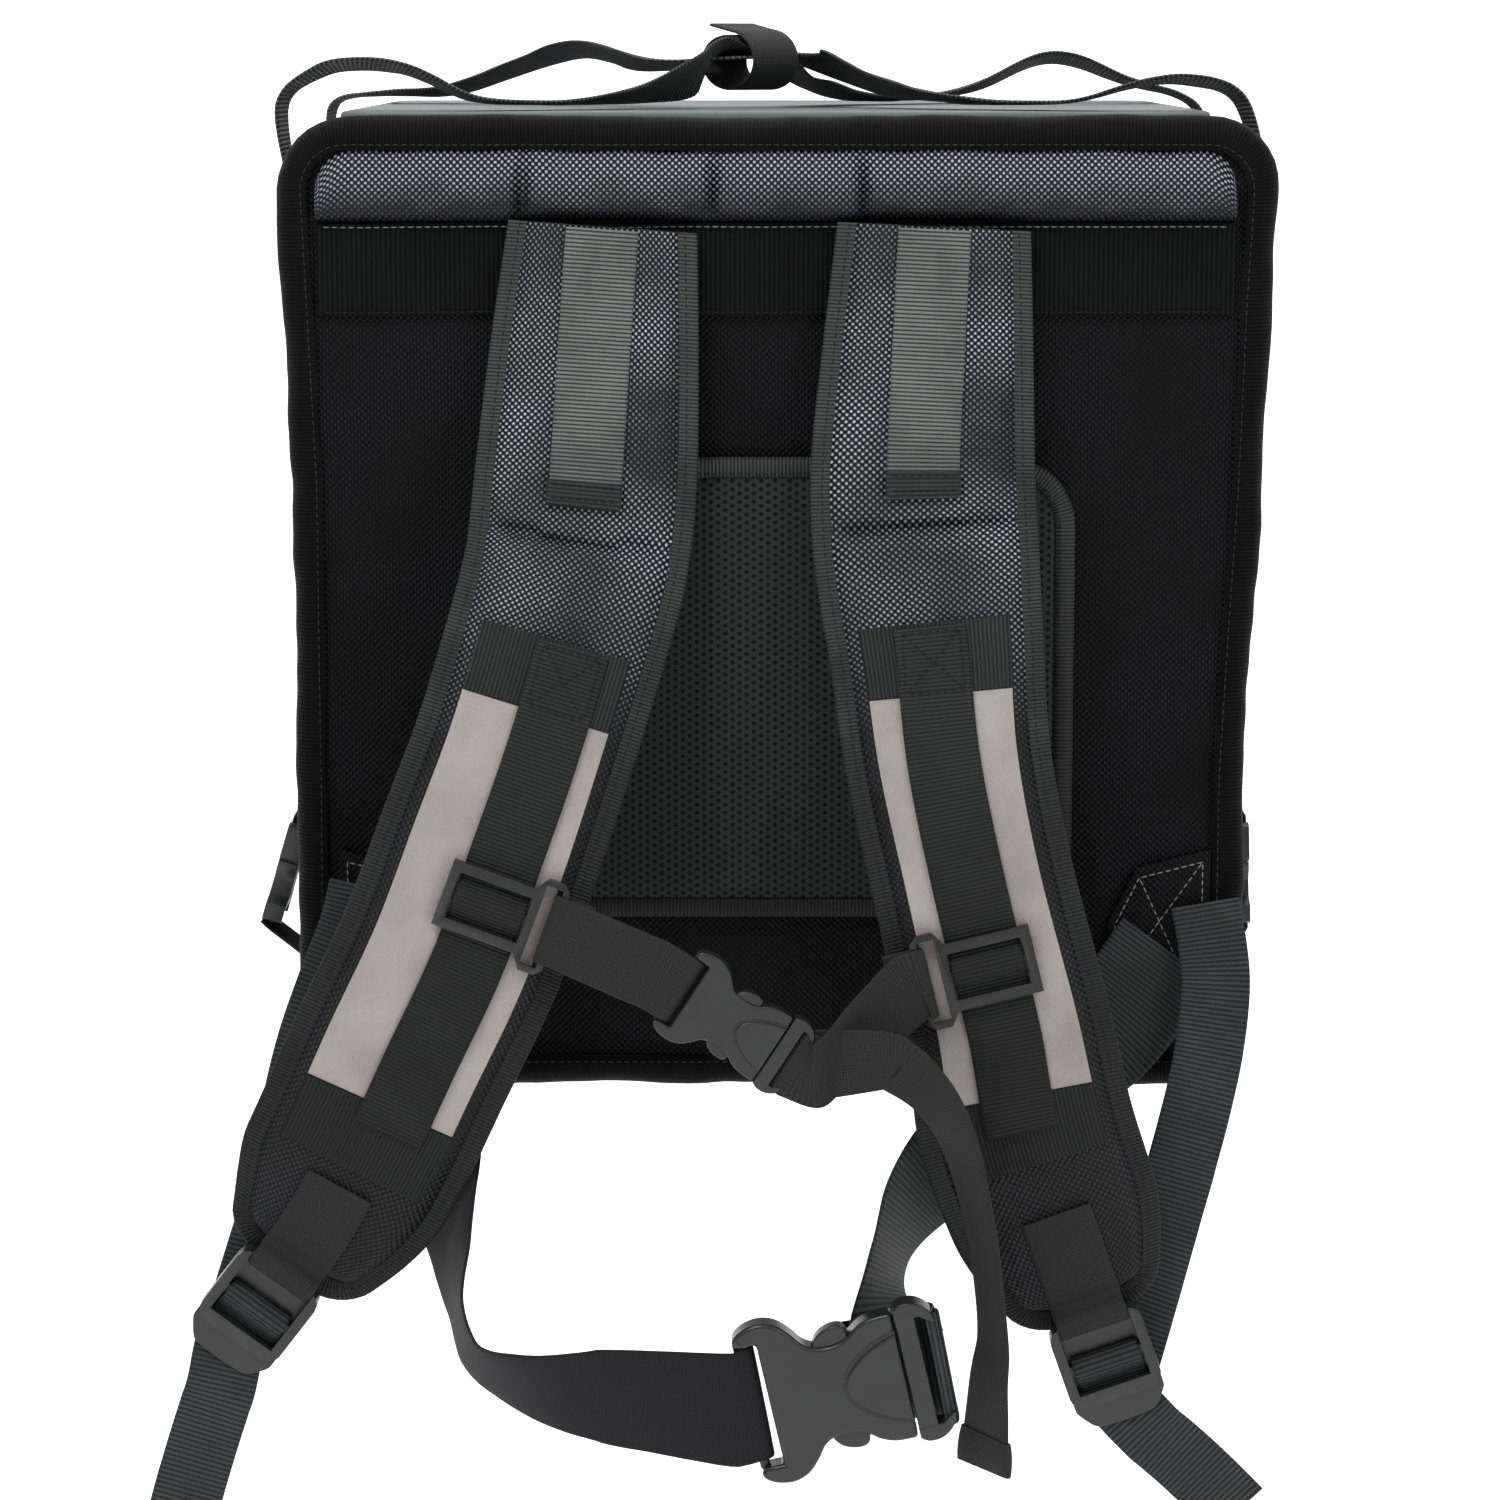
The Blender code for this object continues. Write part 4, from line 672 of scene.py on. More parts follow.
def build_shell():
    """The bag's outer skin: a back panel, rounded edges, slack side walls and a front panel."""
    rings = panel_rings(0, 1)
    for step in range(5):
        turn = math.radians(90 * step / 4)
        rings.append(body_ring(EDGE_ROUND * (1 - math.sin(turn)), EDGE_ROUND * (1 - math.cos(turn))))
    for step in range(1, 14):
        depth = mix(EDGE_ROUND, BAG_DEPTH - EDGE_ROUND, step / 14)
        rings.append(body_ring(0, depth, 2.2 * MM * math.sin(math.pi * step / 14)))
    for step in range(5):
        turn = math.radians(90 * (1 - step / 4))
        rings.append(body_ring(EDGE_ROUND * (1 - math.sin(turn)), BAG_DEPTH - EDGE_ROUND * (1 - math.cos(turn))))
    rings += reversed(panel_rings(BAG_DEPTH, -1))
    count = len(rings[0])
    points = [point for ring in rings for point in ring]
    faces = []
    for row in range(len(rings) - 1):
        for step in range(count):
            after = (step + 1) % count
            here, there = row * count, (row + 1) * count
            faces.append((here + step, here + after, there + after, there + step))
    faces += [tuple(range(count)), tuple(range(len(points) - count, len(points)))]
    uvs = []
    for face in faces:
        corners = [points[step] for step in face]
        normal = (corners[1] - corners[0]).cross(corners[-1] - corners[0])
        axis = max(range(3), key=lambda way: abs(normal[way]))
        pick = ((1, 2), (0, 2), (0, 1))[axis]
        uvs += [(point[pick[0]], point[pick[1]]) for point in corners]
    piece = add_piece("bag_body", points, faces, PANEL_WEAVE, uvs, nodes=("bag_shell",), slot="weave")
    return piece


def binding_section(steps=6):
    """Inset and depth pairs round the edge binding's folded tape, outer side first."""
    outer, inner = [], []
    for step in range(steps + 1):
        turn = math.radians(90 * step / steps)
        bulge = EDGE_ROUND
        outer.append((bulge - (bulge + BINDING_THICKNESS) * math.sin(turn),
                      bulge - (bulge + BINDING_THICKNESS) * math.cos(turn)))
    outer = [(BINDING_REACH, -BINDING_THICKNESS), *outer, (-BINDING_THICKNESS, BINDING_REACH)]
    inner = [(0.3 * MM, BINDING_REACH), (0.3 * MM, EDGE_ROUND), (0.3 * EDGE_ROUND, 0.3 * EDGE_ROUND)]
    inner += [(EDGE_ROUND, 0.3 * MM), (BINDING_REACH, 0.3 * MM)]
    return outer, inner


def build_edge_binding(name, node, face, inward):
    outer, inner = binding_section()
    section = outer + inner
    rings, us, run = [], [], 0.0
    for index, (inset, depth) in enumerate(section):
        before = section[max(index - 1, 0)]
        run += math.hypot(inset - before[0], depth - before[1])
        us.append(run)
        is_outer = index < len(outer)
        ring = []
        for x, z in outline(inset, 8, 90):
            swell = 0.0
            if is_outer:
                swell = 2.4 * MM * wave(x, face, z, 48 * MM, 2.0) + 0.9 * MM * wave(x, face, z, 15 * MM, 5.0)
                swell *= clamp(1 - abs(index - len(outer) / 2) / len(outer))
            length = math.hypot(x, z)
            ring.append(Vector((x * (1 + swell / length), face + inward * depth, z * (1 + swell / length))))
        rings.append(ring)
    loops = [list(points) for points in zip(*rings)]
    marks = [0.0]
    for before, after in zip(loops, loops[1:] + loops[:1]):
        marks.append(marks[-1] + (after[3] - before[3]).length)
    return skin(name, loops, us + [us[-1]], marks, EDGE_BINDING_SHADED, closed=True, nodes=(node,))


def build_lid():
    low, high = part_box("lid_panel")
    radius = 16 * MM
    rings = []
    lip = 1.6 * MM
    levels = [(0, low.z), (0, high.z - lip), (0.3 * lip, high.z - 0.3 * lip), (lip, high.z)]
    levels += [(inset * MM, high.z) for inset in (6, 14, 30, 50, 75, 100, 130, 155)]
    for inset, z in levels:
        ring = []
        reach_x, reach_y = (high.x - low.x) / 2 - inset, (high.y - low.y) / 2 - inset
        bend = max(radius - inset, 1 * MM)
        for corner, (side, way) in enumerate(((1, -1), (1, 1), (-1, 1), (-1, -1))):
            for step in range(7):
                turn = math.radians(-90 + 90 * corner + 15 * step)
                x = (low.x + high.x) / 2 + side * (reach_x - bend) + bend * math.cos(turn)
                y = (low.y + high.y) / 2 + way * (reach_y - bend) + bend * math.sin(turn)
                ring.append(Vector((x, y, z)))
            following = ((1, 1), (-1, 1), (-1, -1), (1, -1))[corner]
            end = Vector((
                (low.x + high.x) / 2 + following[0] * (reach_x - bend) + bend * math.cos(turn),
                (low.y + high.y) / 2 + following[1] * (reach_y - bend) + bend * math.sin(turn), z))
            start = ring[-1]
            ring += [start.lerp(end, step / 12) for step in range(1, 12)]
        if inset > 2 * MM:
            ring = [point + Vector((0, 0, -0.9 * MM * (0.5 + 0.5 * wave(point.x, point.y, 0, 60 * MM)))) for point in ring]
        rings.append(ring)
    us = [0.0] * len(rings[0])
    return skin("lid_cloth_top", rings, us, [0.0] * len(rings), LID, nodes=("lid_panel",), slot="lid")


# Back panel


def fold_left(x, up):
    """How much of the top band's puff is left at x and at a height share of the band."""
    left = 1.0
    for centre, depth, reach, lean in FOLD_ROWS:
        middle = centre + lean * reach * (up - 0.3)
        distance = abs(x / HALF_WIDTH - middle) / (2 * reach)
        left -= depth * math.exp(-((1.6 * distance) ** 2)) * clamp(0.35 + 0.9 * up)
    return max(left, 0.15)


def build_top_band():
    """The puffed, gathered band of weave over the yoke."""
    low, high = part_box("top_fabric_band")
    columns, rows = 220, 22
    edge = EDGE_ROUND + 2.4 * MM
    inner = CORNER_RADIUS - edge
    rings, marks = [], []
    for column in range(columns + 1):
        x = mix(low.x, high.x, column / columns)
        past = max(abs(x) - (HALF_WIDTH - CORNER_RADIUS), 0)
        drop = inner - math.sqrt(max(inner**2 - past**2, 0))
        top = HALF_HEIGHT - edge - drop + 1.5 * MM * wave(x, 0, 0, 30 * MM, 7.0)
        tall = max(top - low.z, 2 * MM)
        end = clamp((HALF_WIDTH - abs(x)) / (14 * MM), 0.25, 1)
        ring = []
        for row in range(rows + 1):
            up = row / rows
            body = math.sin(math.pi * clamp(up) ** 0.62) ** 0.7 if 0 < up < 1 else 0.0
            wrinkle = 0.9 * MM * wave(x, 0, up * 0.03, 16 * MM, 3.0) + 0.5 * MM * wave(x, 0, up * 0.05, 6 * MM, 8.0)
            puff = 10.2 * MM * body * fold_left(x, up) * end + wrinkle * body
            ring.append(Vector((x, -0.4 * MM - max(puff, 0), low.z + tall * up)))
        ring += [Vector((x, -0.2 * MM, low.z + tall * share)) for share in (0.95, 0.5, 0.05)]
        rings.append(ring)
        marks.append(x)
    us = [0.030 * row / rows for row in range(rows + 1)] + [0.03, 0.015, 0.0]
    piece = skin("top_band_cloth", rings, us, marks, BAND_WEAVE, nodes=("top_fabric_band",), slot="weave")
    return piece


def build_yoke(threads, pale):
    low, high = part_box("yoke_band")
    columns = 120
    rings, marks = [], []
    section = ((0.0, 0.1), (0.0, 0.8), (0.03, 1.0), (0.35, 1.0), (0.65, 1.0), (0.97, 1.0), (1.0, 0.8), (1.0, 0.1))
    for column in range(columns + 1):
        x = mix(low.x, high.x, column / columns)
        sway = 0.7 * MM * wave(x, 0, 0, 50 * MM, 6.0)
        ring = []
        for up, out in section:
            ripple = 0.35 * MM * wave(x, up, 0, 22 * MM, 1.0)
            ring.append(Vector((x, mix(high.y, low.y, out) + ripple * (out > 0.5), mix(low.z, high.z, up) + sway)))
        rings.append(ring)
        marks.append(x)
    us = [up * (high.z - low.z) for up, _ in section]
    skin("yoke_webbing", rings, us, marks, YOKE_WEBBING, nodes=("yoke_band",))
    for up, thread in ((0.035, threads), (0.965, pale)):
        path = []
        for column in range(columns + 1):
            x = mix(low.x + 3 * MM, high.x - 3 * MM, column / columns)
            sway = 0.7 * MM * wave(x, 0, 0, 50 * MM, 6.0)
            path.append(Vector((x, low.y - 0.5 * MM, mix(low.z, high.z, up) + sway)))
        thread.run(path, [Vector((0, -1, 0))] * len(path))


YOKE_WEBBING = ribbed_material("yoke_webbing", (0.0003, 0.0003, 0.0003), (0.005, 0.0055, 0.0055), 2.1 * MM, specular=0.06)


def pad_outline(inset, steps=10):
    """The mesh pad's outline, round at the top and nearly square at the bottom."""
    low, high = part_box("mesh_pad_binding")
    round_top, round_low = max(30 * MM - inset, 1 * MM), max(15 * MM - inset, 1 * MM)
    left, right, bottom, top = low.x + inset, high.x - inset, low.z + inset, high.z - inset
    made = []
    corners = ((right, bottom, round_low, -90), (right, top, round_top, 0), (left, top, round_top, 90), (left, bottom, round_low, 180))
    for index, (x, z, bend, start) in enumerate(corners):
        way_x = 1 if x == right else -1
        way_z = 1 if z == top else -1
        for step in range(steps + 1):
            turn = math.radians(start + 90 * step / steps)
            made.append((x - way_x * bend + bend * math.cos(turn), z - way_z * bend + bend * math.sin(turn)))
        following = corners[(index + 1) % 4]
        turn = math.radians(start + 90)
        next_x, next_z, next_bend = following[:3]
        far_x = 1 if next_x == right else -1
        far_z = 1 if next_z == top else -1
        end = (next_x - far_x * next_bend + next_bend * math.cos(turn), next_z - far_z * next_bend + next_bend * math.sin(turn))
        start_point = made[-1]
        made += [(mix(start_point[0], end[0], step / 24), mix(start_point[1], end[1], step / 24)) for step in range(1, 24)]
    return made


def build_mesh_pad(threads):
    low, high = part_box("mesh_pad")
    rings = []
    rows = [(8.5, 0.3, 0), (8.5, 3.0, 0), (10, 5.2, 0), (13, 6.6, 0.3)]
    rows += [(inset, 7.6, 1) for inset in (20, 32, 48, 66, 84, 98)]
    for inset, out, soft in rows:
        ring = []
        for x, z in pad_outline(inset * MM):
            dent = soft * 1.1 * MM * (0.5 + 0.5 * wave(x, 0, z, 45 * MM, 5.0))
            ring.append(Vector((x, -out * MM + dent, z)))
        rings.append(ring)
    count = len(rings[0])
    points = [point for ring in rings for point in ring]
    uvs = [(point.x, point.z) for point in points]
    faces = []
    for row in range(len(rings) - 1):
        for step in range(count):
            after = (step + 1) % count
            faces.append((row * count + step, row * count + after, (row + 1) * count + after, (row + 1) * count + step))
    faces += [tuple(range(count)), tuple(range(len(points) - count, len(points)))]
    piece = add_piece("mesh_pad_cloth", points, faces, MESH, uvs, nodes=("mesh_pad",), slot="mesh")
    section = ((0.0, 0.3), (0.0, 2.6), (0.9, 4.0), (3.0, 4.6), (6.2, 4.6), (8.2, 4.1), (9.0, 3.0), (9.0, 0.3))
    rings = [[Vector((x, -out * MM, z)) for x, z in pad_outline(inset * MM)] for inset, out in section]
    loops = [list(each) for each in zip(*rings)]
    marks = [0.0]
    for before, after in zip(loops, loops[1:] + loops[:1]):
        marks.append(marks[-1] + (after[3] - before[3]).length)
    us = [inset * MM for inset, _ in section] + [0.0]
    skin("mesh_pad_tape", loops, us, marks, BINDING, closed=True, nodes=("mesh_pad_binding",))
    path = [Vector((x, -4.7 * MM, z)) for x, z in pad_outline(6.8 * MM)]
    threads.run(path + path[:1], [Vector((0, -1, 0))] * (len(path) + 1))


# Shoulder straps


def strap_frame(rings):
    """Rows of centre and the three pairs of opposite corners from a pad's six-cornered sections."""
    rows = []
    for ring in rings:
        centre = sum(ring, Vector()) / 6
        pairs = [(ring[step], ring[(step + 3) % 6]) for step in range(3)]
        rows.append((centre, pairs))
    return rows


def pad_rows(name):
    """Rows of centre, width vector and thickness vector of a strap pad, thickness towards the viewer."""
    rows = []
    for ring in rings_of(name, 6):
        centre = sum(ring, Vector()) / 6
        widest = max(((ring[step], ring[step + 3]) for step in range(3)), key=lambda pair: (pair[1] - pair[0]).length)
        width = widest[1] - widest[0]
        if width.x < 0:
            width = -width
        others = [point for point in ring if point not in widest]
        fronts = sorted(others, key=lambda point: point.y)
        thick = (fronts[0] + fronts[1] - fronts[2] - fronts[3]) / 2
        thick -= width * (thick.dot(width) / width.length_squared)
        rows.append([centre, width, thick])
    return rows


# across: share of the width; height: share of the thickness, for a padded section
PAD_SECTION = tuple(
    (0.5 * math.cos(math.radians(angle)), angle) for angle in range(0, 360, 10)
)


def pad_height(across, crown):
    """The pad's height share at a share across it: low at the bound edges and full between."""
    edge = clamp((0.5 - abs(across)) / 0.11)
    side = math.exp(-(((abs(across) - 0.30) / 0.13) ** 2))
    return 0.5 * math.sin(math.pi / 2 * edge) ** 0.7 * (1 + crown * side)


def build_strap_pad(name, seam_levels):
    node = f"strap_pad_{name}"
    rows = resample(pad_rows(node), 2.5 * MM)
    for row in rows:
        row[2] *= 1 + PAD_TUCK / row[2].length
    rings, marks = [], []
    columns = 36
    for mark, centre, width, thick in rows:
        squeeze, bulge = 1.0, 0.0
        for level in seam_levels:
            squeeze -= 0.98 * math.exp(-(((centre.z - level) / (3.0 * MM)) ** 2))
            bulge += 0.30 * math.exp(-(((centre.z - level + 9 * MM) / (6 * MM)) ** 2))
        ring = []
        for front in (1, -1):
            for column in range(columns):
                across = front * (column / columns - 0.5)
                soft = 0.05 * wave(centre.x + across * 0.1, 0, centre.z, 18 * MM, 2.0)
                under = abs(across) < 0.22 and centre.z > min(seam_levels)
                share = pad_height(across, (0.16 + soft) if front > 0 else 0.05)
                if front > 0:
                    share *= 1 + bulge
                    share = mix(0.12, share, squeeze) if not under else min(share, 0.5)
                ring.append(centre + width * across + thick * share * front)
        rings.append(ring)
        marks.append(mark)
    wide = rows[len(rows) // 2][2].length
    us = [wide * (column / columns) for column in range(columns)]
    us += [wide * (1 - column / columns) for column in range(columns)]
    piece = skin(f"{node}_cloth", rings, us, marks, PAD_WEAVE, nodes=(node,), slot="weave")
    return rows


BINDING_SECTION = (
    (-0.50, 0.00),
    (-0.49, 0.30),
    (-0.42, 0.46),
    (-0.22, 0.50),
    (0.02, 0.42),
    (0.22, 0.50),
    (0.42, 0.47),
    (0.50, 0.30),
    (0.50, -0.30),
    (0.42, -0.47),
    (0.22, -0.50),
    (0.02, -0.42),
    (-0.22, -0.50),
    (-0.42, -0.46),
    (-0.49, -0.30),
)


def build_strap_binding(name, threads):
    node = f"strap_binding_{name}"
    rows = resample(strap_rows(node), 3 * MM)
    rings, marks, path, normals = [], [], [], []
    for mark, centre, width, thick in rows:
        if thick.y > 0:
            thick = -thick
        ripple = 1 + 0.06 * wave(mark, 0, 0, 9 * MM, 1.0)
        rings.append([centre + width * across + thick * 1.08 * height * ripple for across, height in BINDING_SECTION])
        marks.append(mark)
        path.append(centre + width * 0.02 + thick * 0.44)
        normals.append(thick.normalized())
    wide = rows[len(rows) // 2][2].length
    us = [across * wide for across, _ in BINDING_SECTION]
    skin(f"{node}_tape", rings, us, marks, BINDING, nodes=(node,))
    threads.run(path, normals)


def build_straps(threads, pale):
    for name, seams in (("left", (0.0345,)), ("right", (0.0405,))):
        build_strap_pad(name, seams)
        build_strap_binding(name, threads)
        dress_strap(f"strap_top_webbing_{name}", TOP_WEBBING_LIT)
        dress_strap(f"cross_band_upper_{name}", WEBBING, crosswise=True)
        dress_strap(f"cross_band_lower_{name}", WEBBING, crosswise=True)
        dress_strap(f"reflective_panel_{name}", REFLECTIVE, slot="reflective")
        dress_strap(f"strap_webbing_{name}", WEBBING, spacing=2 * MM)
        dress_strap(f"lock_tab_{name}", CHEST, spacing=2 * MM)
        box_stitch(f"strap_webbing_{name}", threads, 29 * MM)
        hem(f"strap_top_webbing_{name}", name, threads)


def box_stitch(node, threads, size):
    """A square with a cross in it, sewn at the upper end of a strap."""
    rows = resample(strap_rows(node), 1 * MM)
    rows = [row for row in rows if 2 * MM < row[0] < size]

    def at(share_along, share_across):
        _, centre, width, thick = rows[round(share_along * (len(rows) - 1))]
        if thick.y > 0:
            thick = -thick
        return centre + width * share_across + thick * 0.52, thick.normalized()

    corners = ((0, -0.40), (0, 0.40), (1, 0.40), (1, -0.40))
    legs = [(corners[step], corners[(step + 1) % 4]) for step in range(4)]
    legs += [(corners[0], corners[2]), (corners[1], corners[3])]
    for (start_along, start_across), (end_along, end_across) in legs:
        spots = [at(mix(start_along, end_along, step / 12), mix(start_across, end_across, step / 12)) for step in range(13)]
        threads.run([spot for spot, _ in spots], [normal for _, normal in spots])


def hem(node, name, threads):
    """The folded and stitched lower end of the upper webbing."""
    rows = resample(strap_rows(node), 1 * MM)
    last = rows[-1][0]
    tail = [row for row in rows if row[0] > last - 12 * MM]
    rings, marks = [], []
    for mark, centre, width, thick in tail:
        if thick.y > 0:
            thick = -thick
        face = thick.normalized()
        share = clamp((mark - last + 12 * MM) / (2 * MM)) * clamp((last - mark) / (1.5 * MM) + 0.4)
        rings.append([centre + width * across * 1.03 + face * (0.8 * MM + (height + 0.5) * 1.3 * MM * share)
                      for across, height in STRAP_SECTION])
        marks.append(mark)
    us = [across * 0.031 for across, _ in STRAP_SECTION]
    skin(f"strap_hem_{name}", rings, us, marks, WEBBING)
    for away in (3 * MM, 9 * MM):
        _, centre, width, thick = min(tail, key=lambda row: abs(row[0] - last + away))
        face = -thick.normalized() if thick.y > 0 else thick.normalized()
        path = [centre + width * share + face * 2.2 * MM for share in (-0.45, -0.2, 0, 0.2, 0.45)]
        threads.run(path, [face] * 5)


# Webbing that hangs free, and the handles


def build_webbing():
    for side in ("left", "right"):
        dress_strap(f"adjust_webbing_{side}", ADJUST, ripple=0.5 * MM)
        dress_strap(f"belt_webbing_{side}", BELT if side == "left" else ADJUST, ripple=0.6 * MM)
        dress_strap(f"sternum_webbing_{side}", CHEST, spacing=1.5 * MM, ripple=0.25 * MM)
        for part in ("upper", "lower"):
            dress_strap(f"side_webbing_{part}_{side}", CHEST, ripple=0.0)
    end_lump("sternum_webbing_right", "chest_tail_end")
    dress_strap("handle_near", HANDLE, ripple=0.5 * MM)
    dress_strap("handle_far", HANDLE, ripple=0.5 * MM)
    dress_strap("handle_wrap", CHEST, spacing=1.5 * MM)


HANDLE = ribbed_material("handle_webbing", (0.0005, 0.0005, 0.0005), (0.085, 0.087, 0.087), pitch=2.0 * MM, depth=0.5 * MM)


# Moulded parts


def build_moulded(node, bevel=0.9 * MM, segments=3):
    """A packed plastic part with its flat faces merged and its edges rounded as a mould leaves them."""
    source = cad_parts[node].data
    form = bmesh.new()
    form.from_mesh(source)
    bmesh.ops.remove_doubles(form, verts=form.verts, dist=0.003 * MM)
    bmesh.ops.dissolve_limit(form, angle_limit=math.radians(1.5), verts=form.verts, edges=form.edges)
    mesh = bpy.data.meshes.new(f"{node}_moulded")
    form.to_mesh(mesh)
    form.free()
    mesh.materials.clear()
    mesh.materials.append(PLASTIC)
    piece = bpy.data.objects.new(f"{node}_moulded", mesh)
    bpy.context.scene.collection.objects.link(piece)
    mesh.shade_smooth()
    edge = piece.modifiers.new("rounding", "BEVEL")
    edge.width = bevel
    edge.segments = segments
    edge.limit_method = "ANGLE"
    edge.angle_limit = math.radians(28)
    edge.harden_normals = True
    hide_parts(node)
    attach(piece, "root")
    return piece


# Outlines of a closed buckle, seen with its lobes to the left. along: share of the length from the left end;
# across: share of half the width. Each run is a smooth line, and the runs are joined by straight ones.
LOBE_RUN = (
    (0.030, 0.79),
    (0.005, 0.85),
    (0.020, 0.94),
    (0.080, 1.02),
    (0.160, 1.04),
    (0.235, 0.97),
    (0.295, 0.82),
    (0.340, 0.67),
    (0.395, 0.59),
    (0.465, 0.57),
    (0.530, 0.60),
    (0.575, 0.67),
    (0.620, 0.75),
    (0.690, 0.81),
    (0.795, 0.82),
)
ARM_RUN = (
    (0.375, 0.45),
    (0.385, 0.62),
    (0.425, 0.74),
    (0.490, 0.80),
    (0.545, 0.78),
    (0.565, 0.68),
    (0.565, 0.45),
)
PANEL_RUN = (
    (0.505, 0.00),
    (0.512, 0.09),
    (0.540, 0.20),
    (0.600, 0.34),
    (0.680, 0.46),
    (0.795, 0.56),
)
GROOVE_RUN = (
    (0.485, 0.00),
    (0.492, 0.10),
    (0.523, 0.23),
    (0.588, 0.39),
    (0.672, 0.51),
    (0.795, 0.615),
)
END_RUN = (
    (0.805, 0.84),
    (0.850, 0.90),
    (0.920, 0.88),
    (0.980, 0.76),
    (1.005, 0.60),
)
SLOT_EDGE = 0.120
ROLL_EDGE = 0.905


def smooth_run(run, steps=4):
    rows = [Vector(pair) for pair in run]
    made = []
    for index in range(len(rows) - 1):
        four = (rows[max(index - 1, 0)], rows[index], rows[index + 1], rows[min(index + 2, len(rows) - 1)])
        made += [catmull(*four, step / steps) for step in range(steps)]
    return made + [rows[-1]]


def mirrored(run):
    """A run above the axis, joined to its mirror image below it."""
    upper = smooth_run(run)
    return upper + [Vector((along, -across)) for along, across in reversed(upper) if across > 1e-6]


class BucklePlace:
    """The middle, directions and sizes of a closed buckle, read from its two packed halves."""

    def __init__(self, left, right):
        self.nodes = (left, right)
        points = [vertex.co for node in self.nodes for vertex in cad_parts[node].data.vertices]
        values = numpy.array([tuple(point) for point in points])
        _, axes = numpy.linalg.eigh(numpy.cov((values - values.mean(axis=0)).T))
        axes = [Vector(axes[:, step]) for step in range(3)]
        self.centre = Vector((0, 0, 0))
        spans = []
        for axis in axes:
            marks = [point.dot(axis) for point in points]
            spans.append(max(marks) - min(marks))
            self.centre += axis * (max(marks) + min(marks)) / 2
        order = sorted(range(3), key=lambda step: spans[step])
        self.thick, self.half, self.length = spans[order[0]], spans[order[1]] / 1.96, spans[order[2]]
        self.face, self.along = axes[order[0]], axes[order[2]]
        self.face = -self.face if self.face.y > 0 else self.face
        self.along = -self.along if self.along.x < 0 else self.along
        self.across = self.face.cross(self.along)

    def at(self, along, across, out):
        middle = self.centre + self.along * (along - 0.5) * self.length
        return middle + self.across * across * self.half + self.face * out * self.thick / 2


class Moulded:
    """Collects flat moulded shapes in a buckle's place and makes one piece of them."""

    def __init__(self, place):
        self.place = place
        self.form = bmesh.new()

    def plate(self, outline, low, high):
        rows = []
        for level in (low, high):
            rows.append([self.form.verts.new(self.place.at(along, across, level)) for along, across in outline])
        count = len(outline)
        for step in range(count):
            after = (step + 1) % count
            self.form.faces.new((rows[0][step], rows[0][after], rows[1][after], rows[1][step]))
        self.form.faces.new(rows[0])
        self.form.faces.new(rows[1])

    def finish(self, name, node, bevel, material=None):
        bmesh.ops.recalc_face_normals(self.form, faces=self.form.faces)
        mesh = bpy.data.meshes.new(name)
        self.form.to_mesh(mesh)
        self.form.free()
        mesh.materials.append(material or PLASTIC)
        piece = bpy.data.objects.new(name, mesh)
        bpy.context.scene.collection.objects.link(piece)
        mesh.shade_smooth()
        edge = piece.modifiers.new("rounding", "BEVEL")
        edge.width = bevel
        edge.segments = 4
        edge.limit_method = "ANGLE"
        edge.angle_limit = math.radians(40)
        edge.harden_normals = True
        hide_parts(node)
        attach(piece, "root")


def build_buckle(name, left, right, bevel):
    """A closed side-release buckle: a socket with lobes and squeeze arms, and the frame of its fork."""
    place = BucklePlace(left, right)
    body = Moulded(place)
    lobes = smooth_run(LOBE_RUN)
    outline = [Vector((SLOT_EDGE, 0.79)), *lobes]
    outline += [Vector((along, -across)) for along, across in reversed(outline)]
    body.plate(outline, -0.86, 0.90)
    body.plate([(0.0, -0.85), (0.050, -0.85), (0.050, 0.85), (0.0, 0.85)], -0.32, 0.32)
    body.finish(f"{name}_socket", left, bevel)
    arms = Moulded(place)
    for side in (1, -1):
        arms.plate([(along, side * across) for along, across in smooth_run(ARM_RUN)], -0.55, 0.62)
    arms.finish(f"{name}_squeeze_arms", left, 0.8 * bevel)
    # A near-black ring just round the raised panel: painted shade in its groove.
    groove_shade = Moulded(place)
    groove_shade.plate(mirrored(GROOVE_RUN), 0.80, 0.93)
    groove_shade.finish(f"{name}_groove", left, 0.1 * MM, GROOVE_SHADE_PLASTIC)
    panel = Moulded(place)
    panel.plate(mirrored(PANEL_RUN), 0.80, 1.10)
    panel.finish(f"{name}_raised_panel", left, 0.7 * bevel)
    end = Moulded(place)
    for side in (1, -1):
        rail = [(0.805, side * 0.70), *[(along, side * across) for along, across in smooth_run(END_RUN)]]
        rail += [(0.99, side * 0.76)] if side > 2 else []
        end.plate([*rail, (0.985, side * 0.60), (0.93, side * 0.70)], -0.86, 0.90)
    end.plate([(0.806, -0.80), (ROLL_EDGE, -0.80), (ROLL_EDGE, 0.80), (0.806, 0.80)], -0.86, 0.88)
    end.plate([(0.950, -0.72), (1.0, -0.72), (1.0, 0.72), (0.950, 0.72)], -0.32, 0.32)
    end.finish(f"{name}_fork_end", right, 0.6 * bevel)


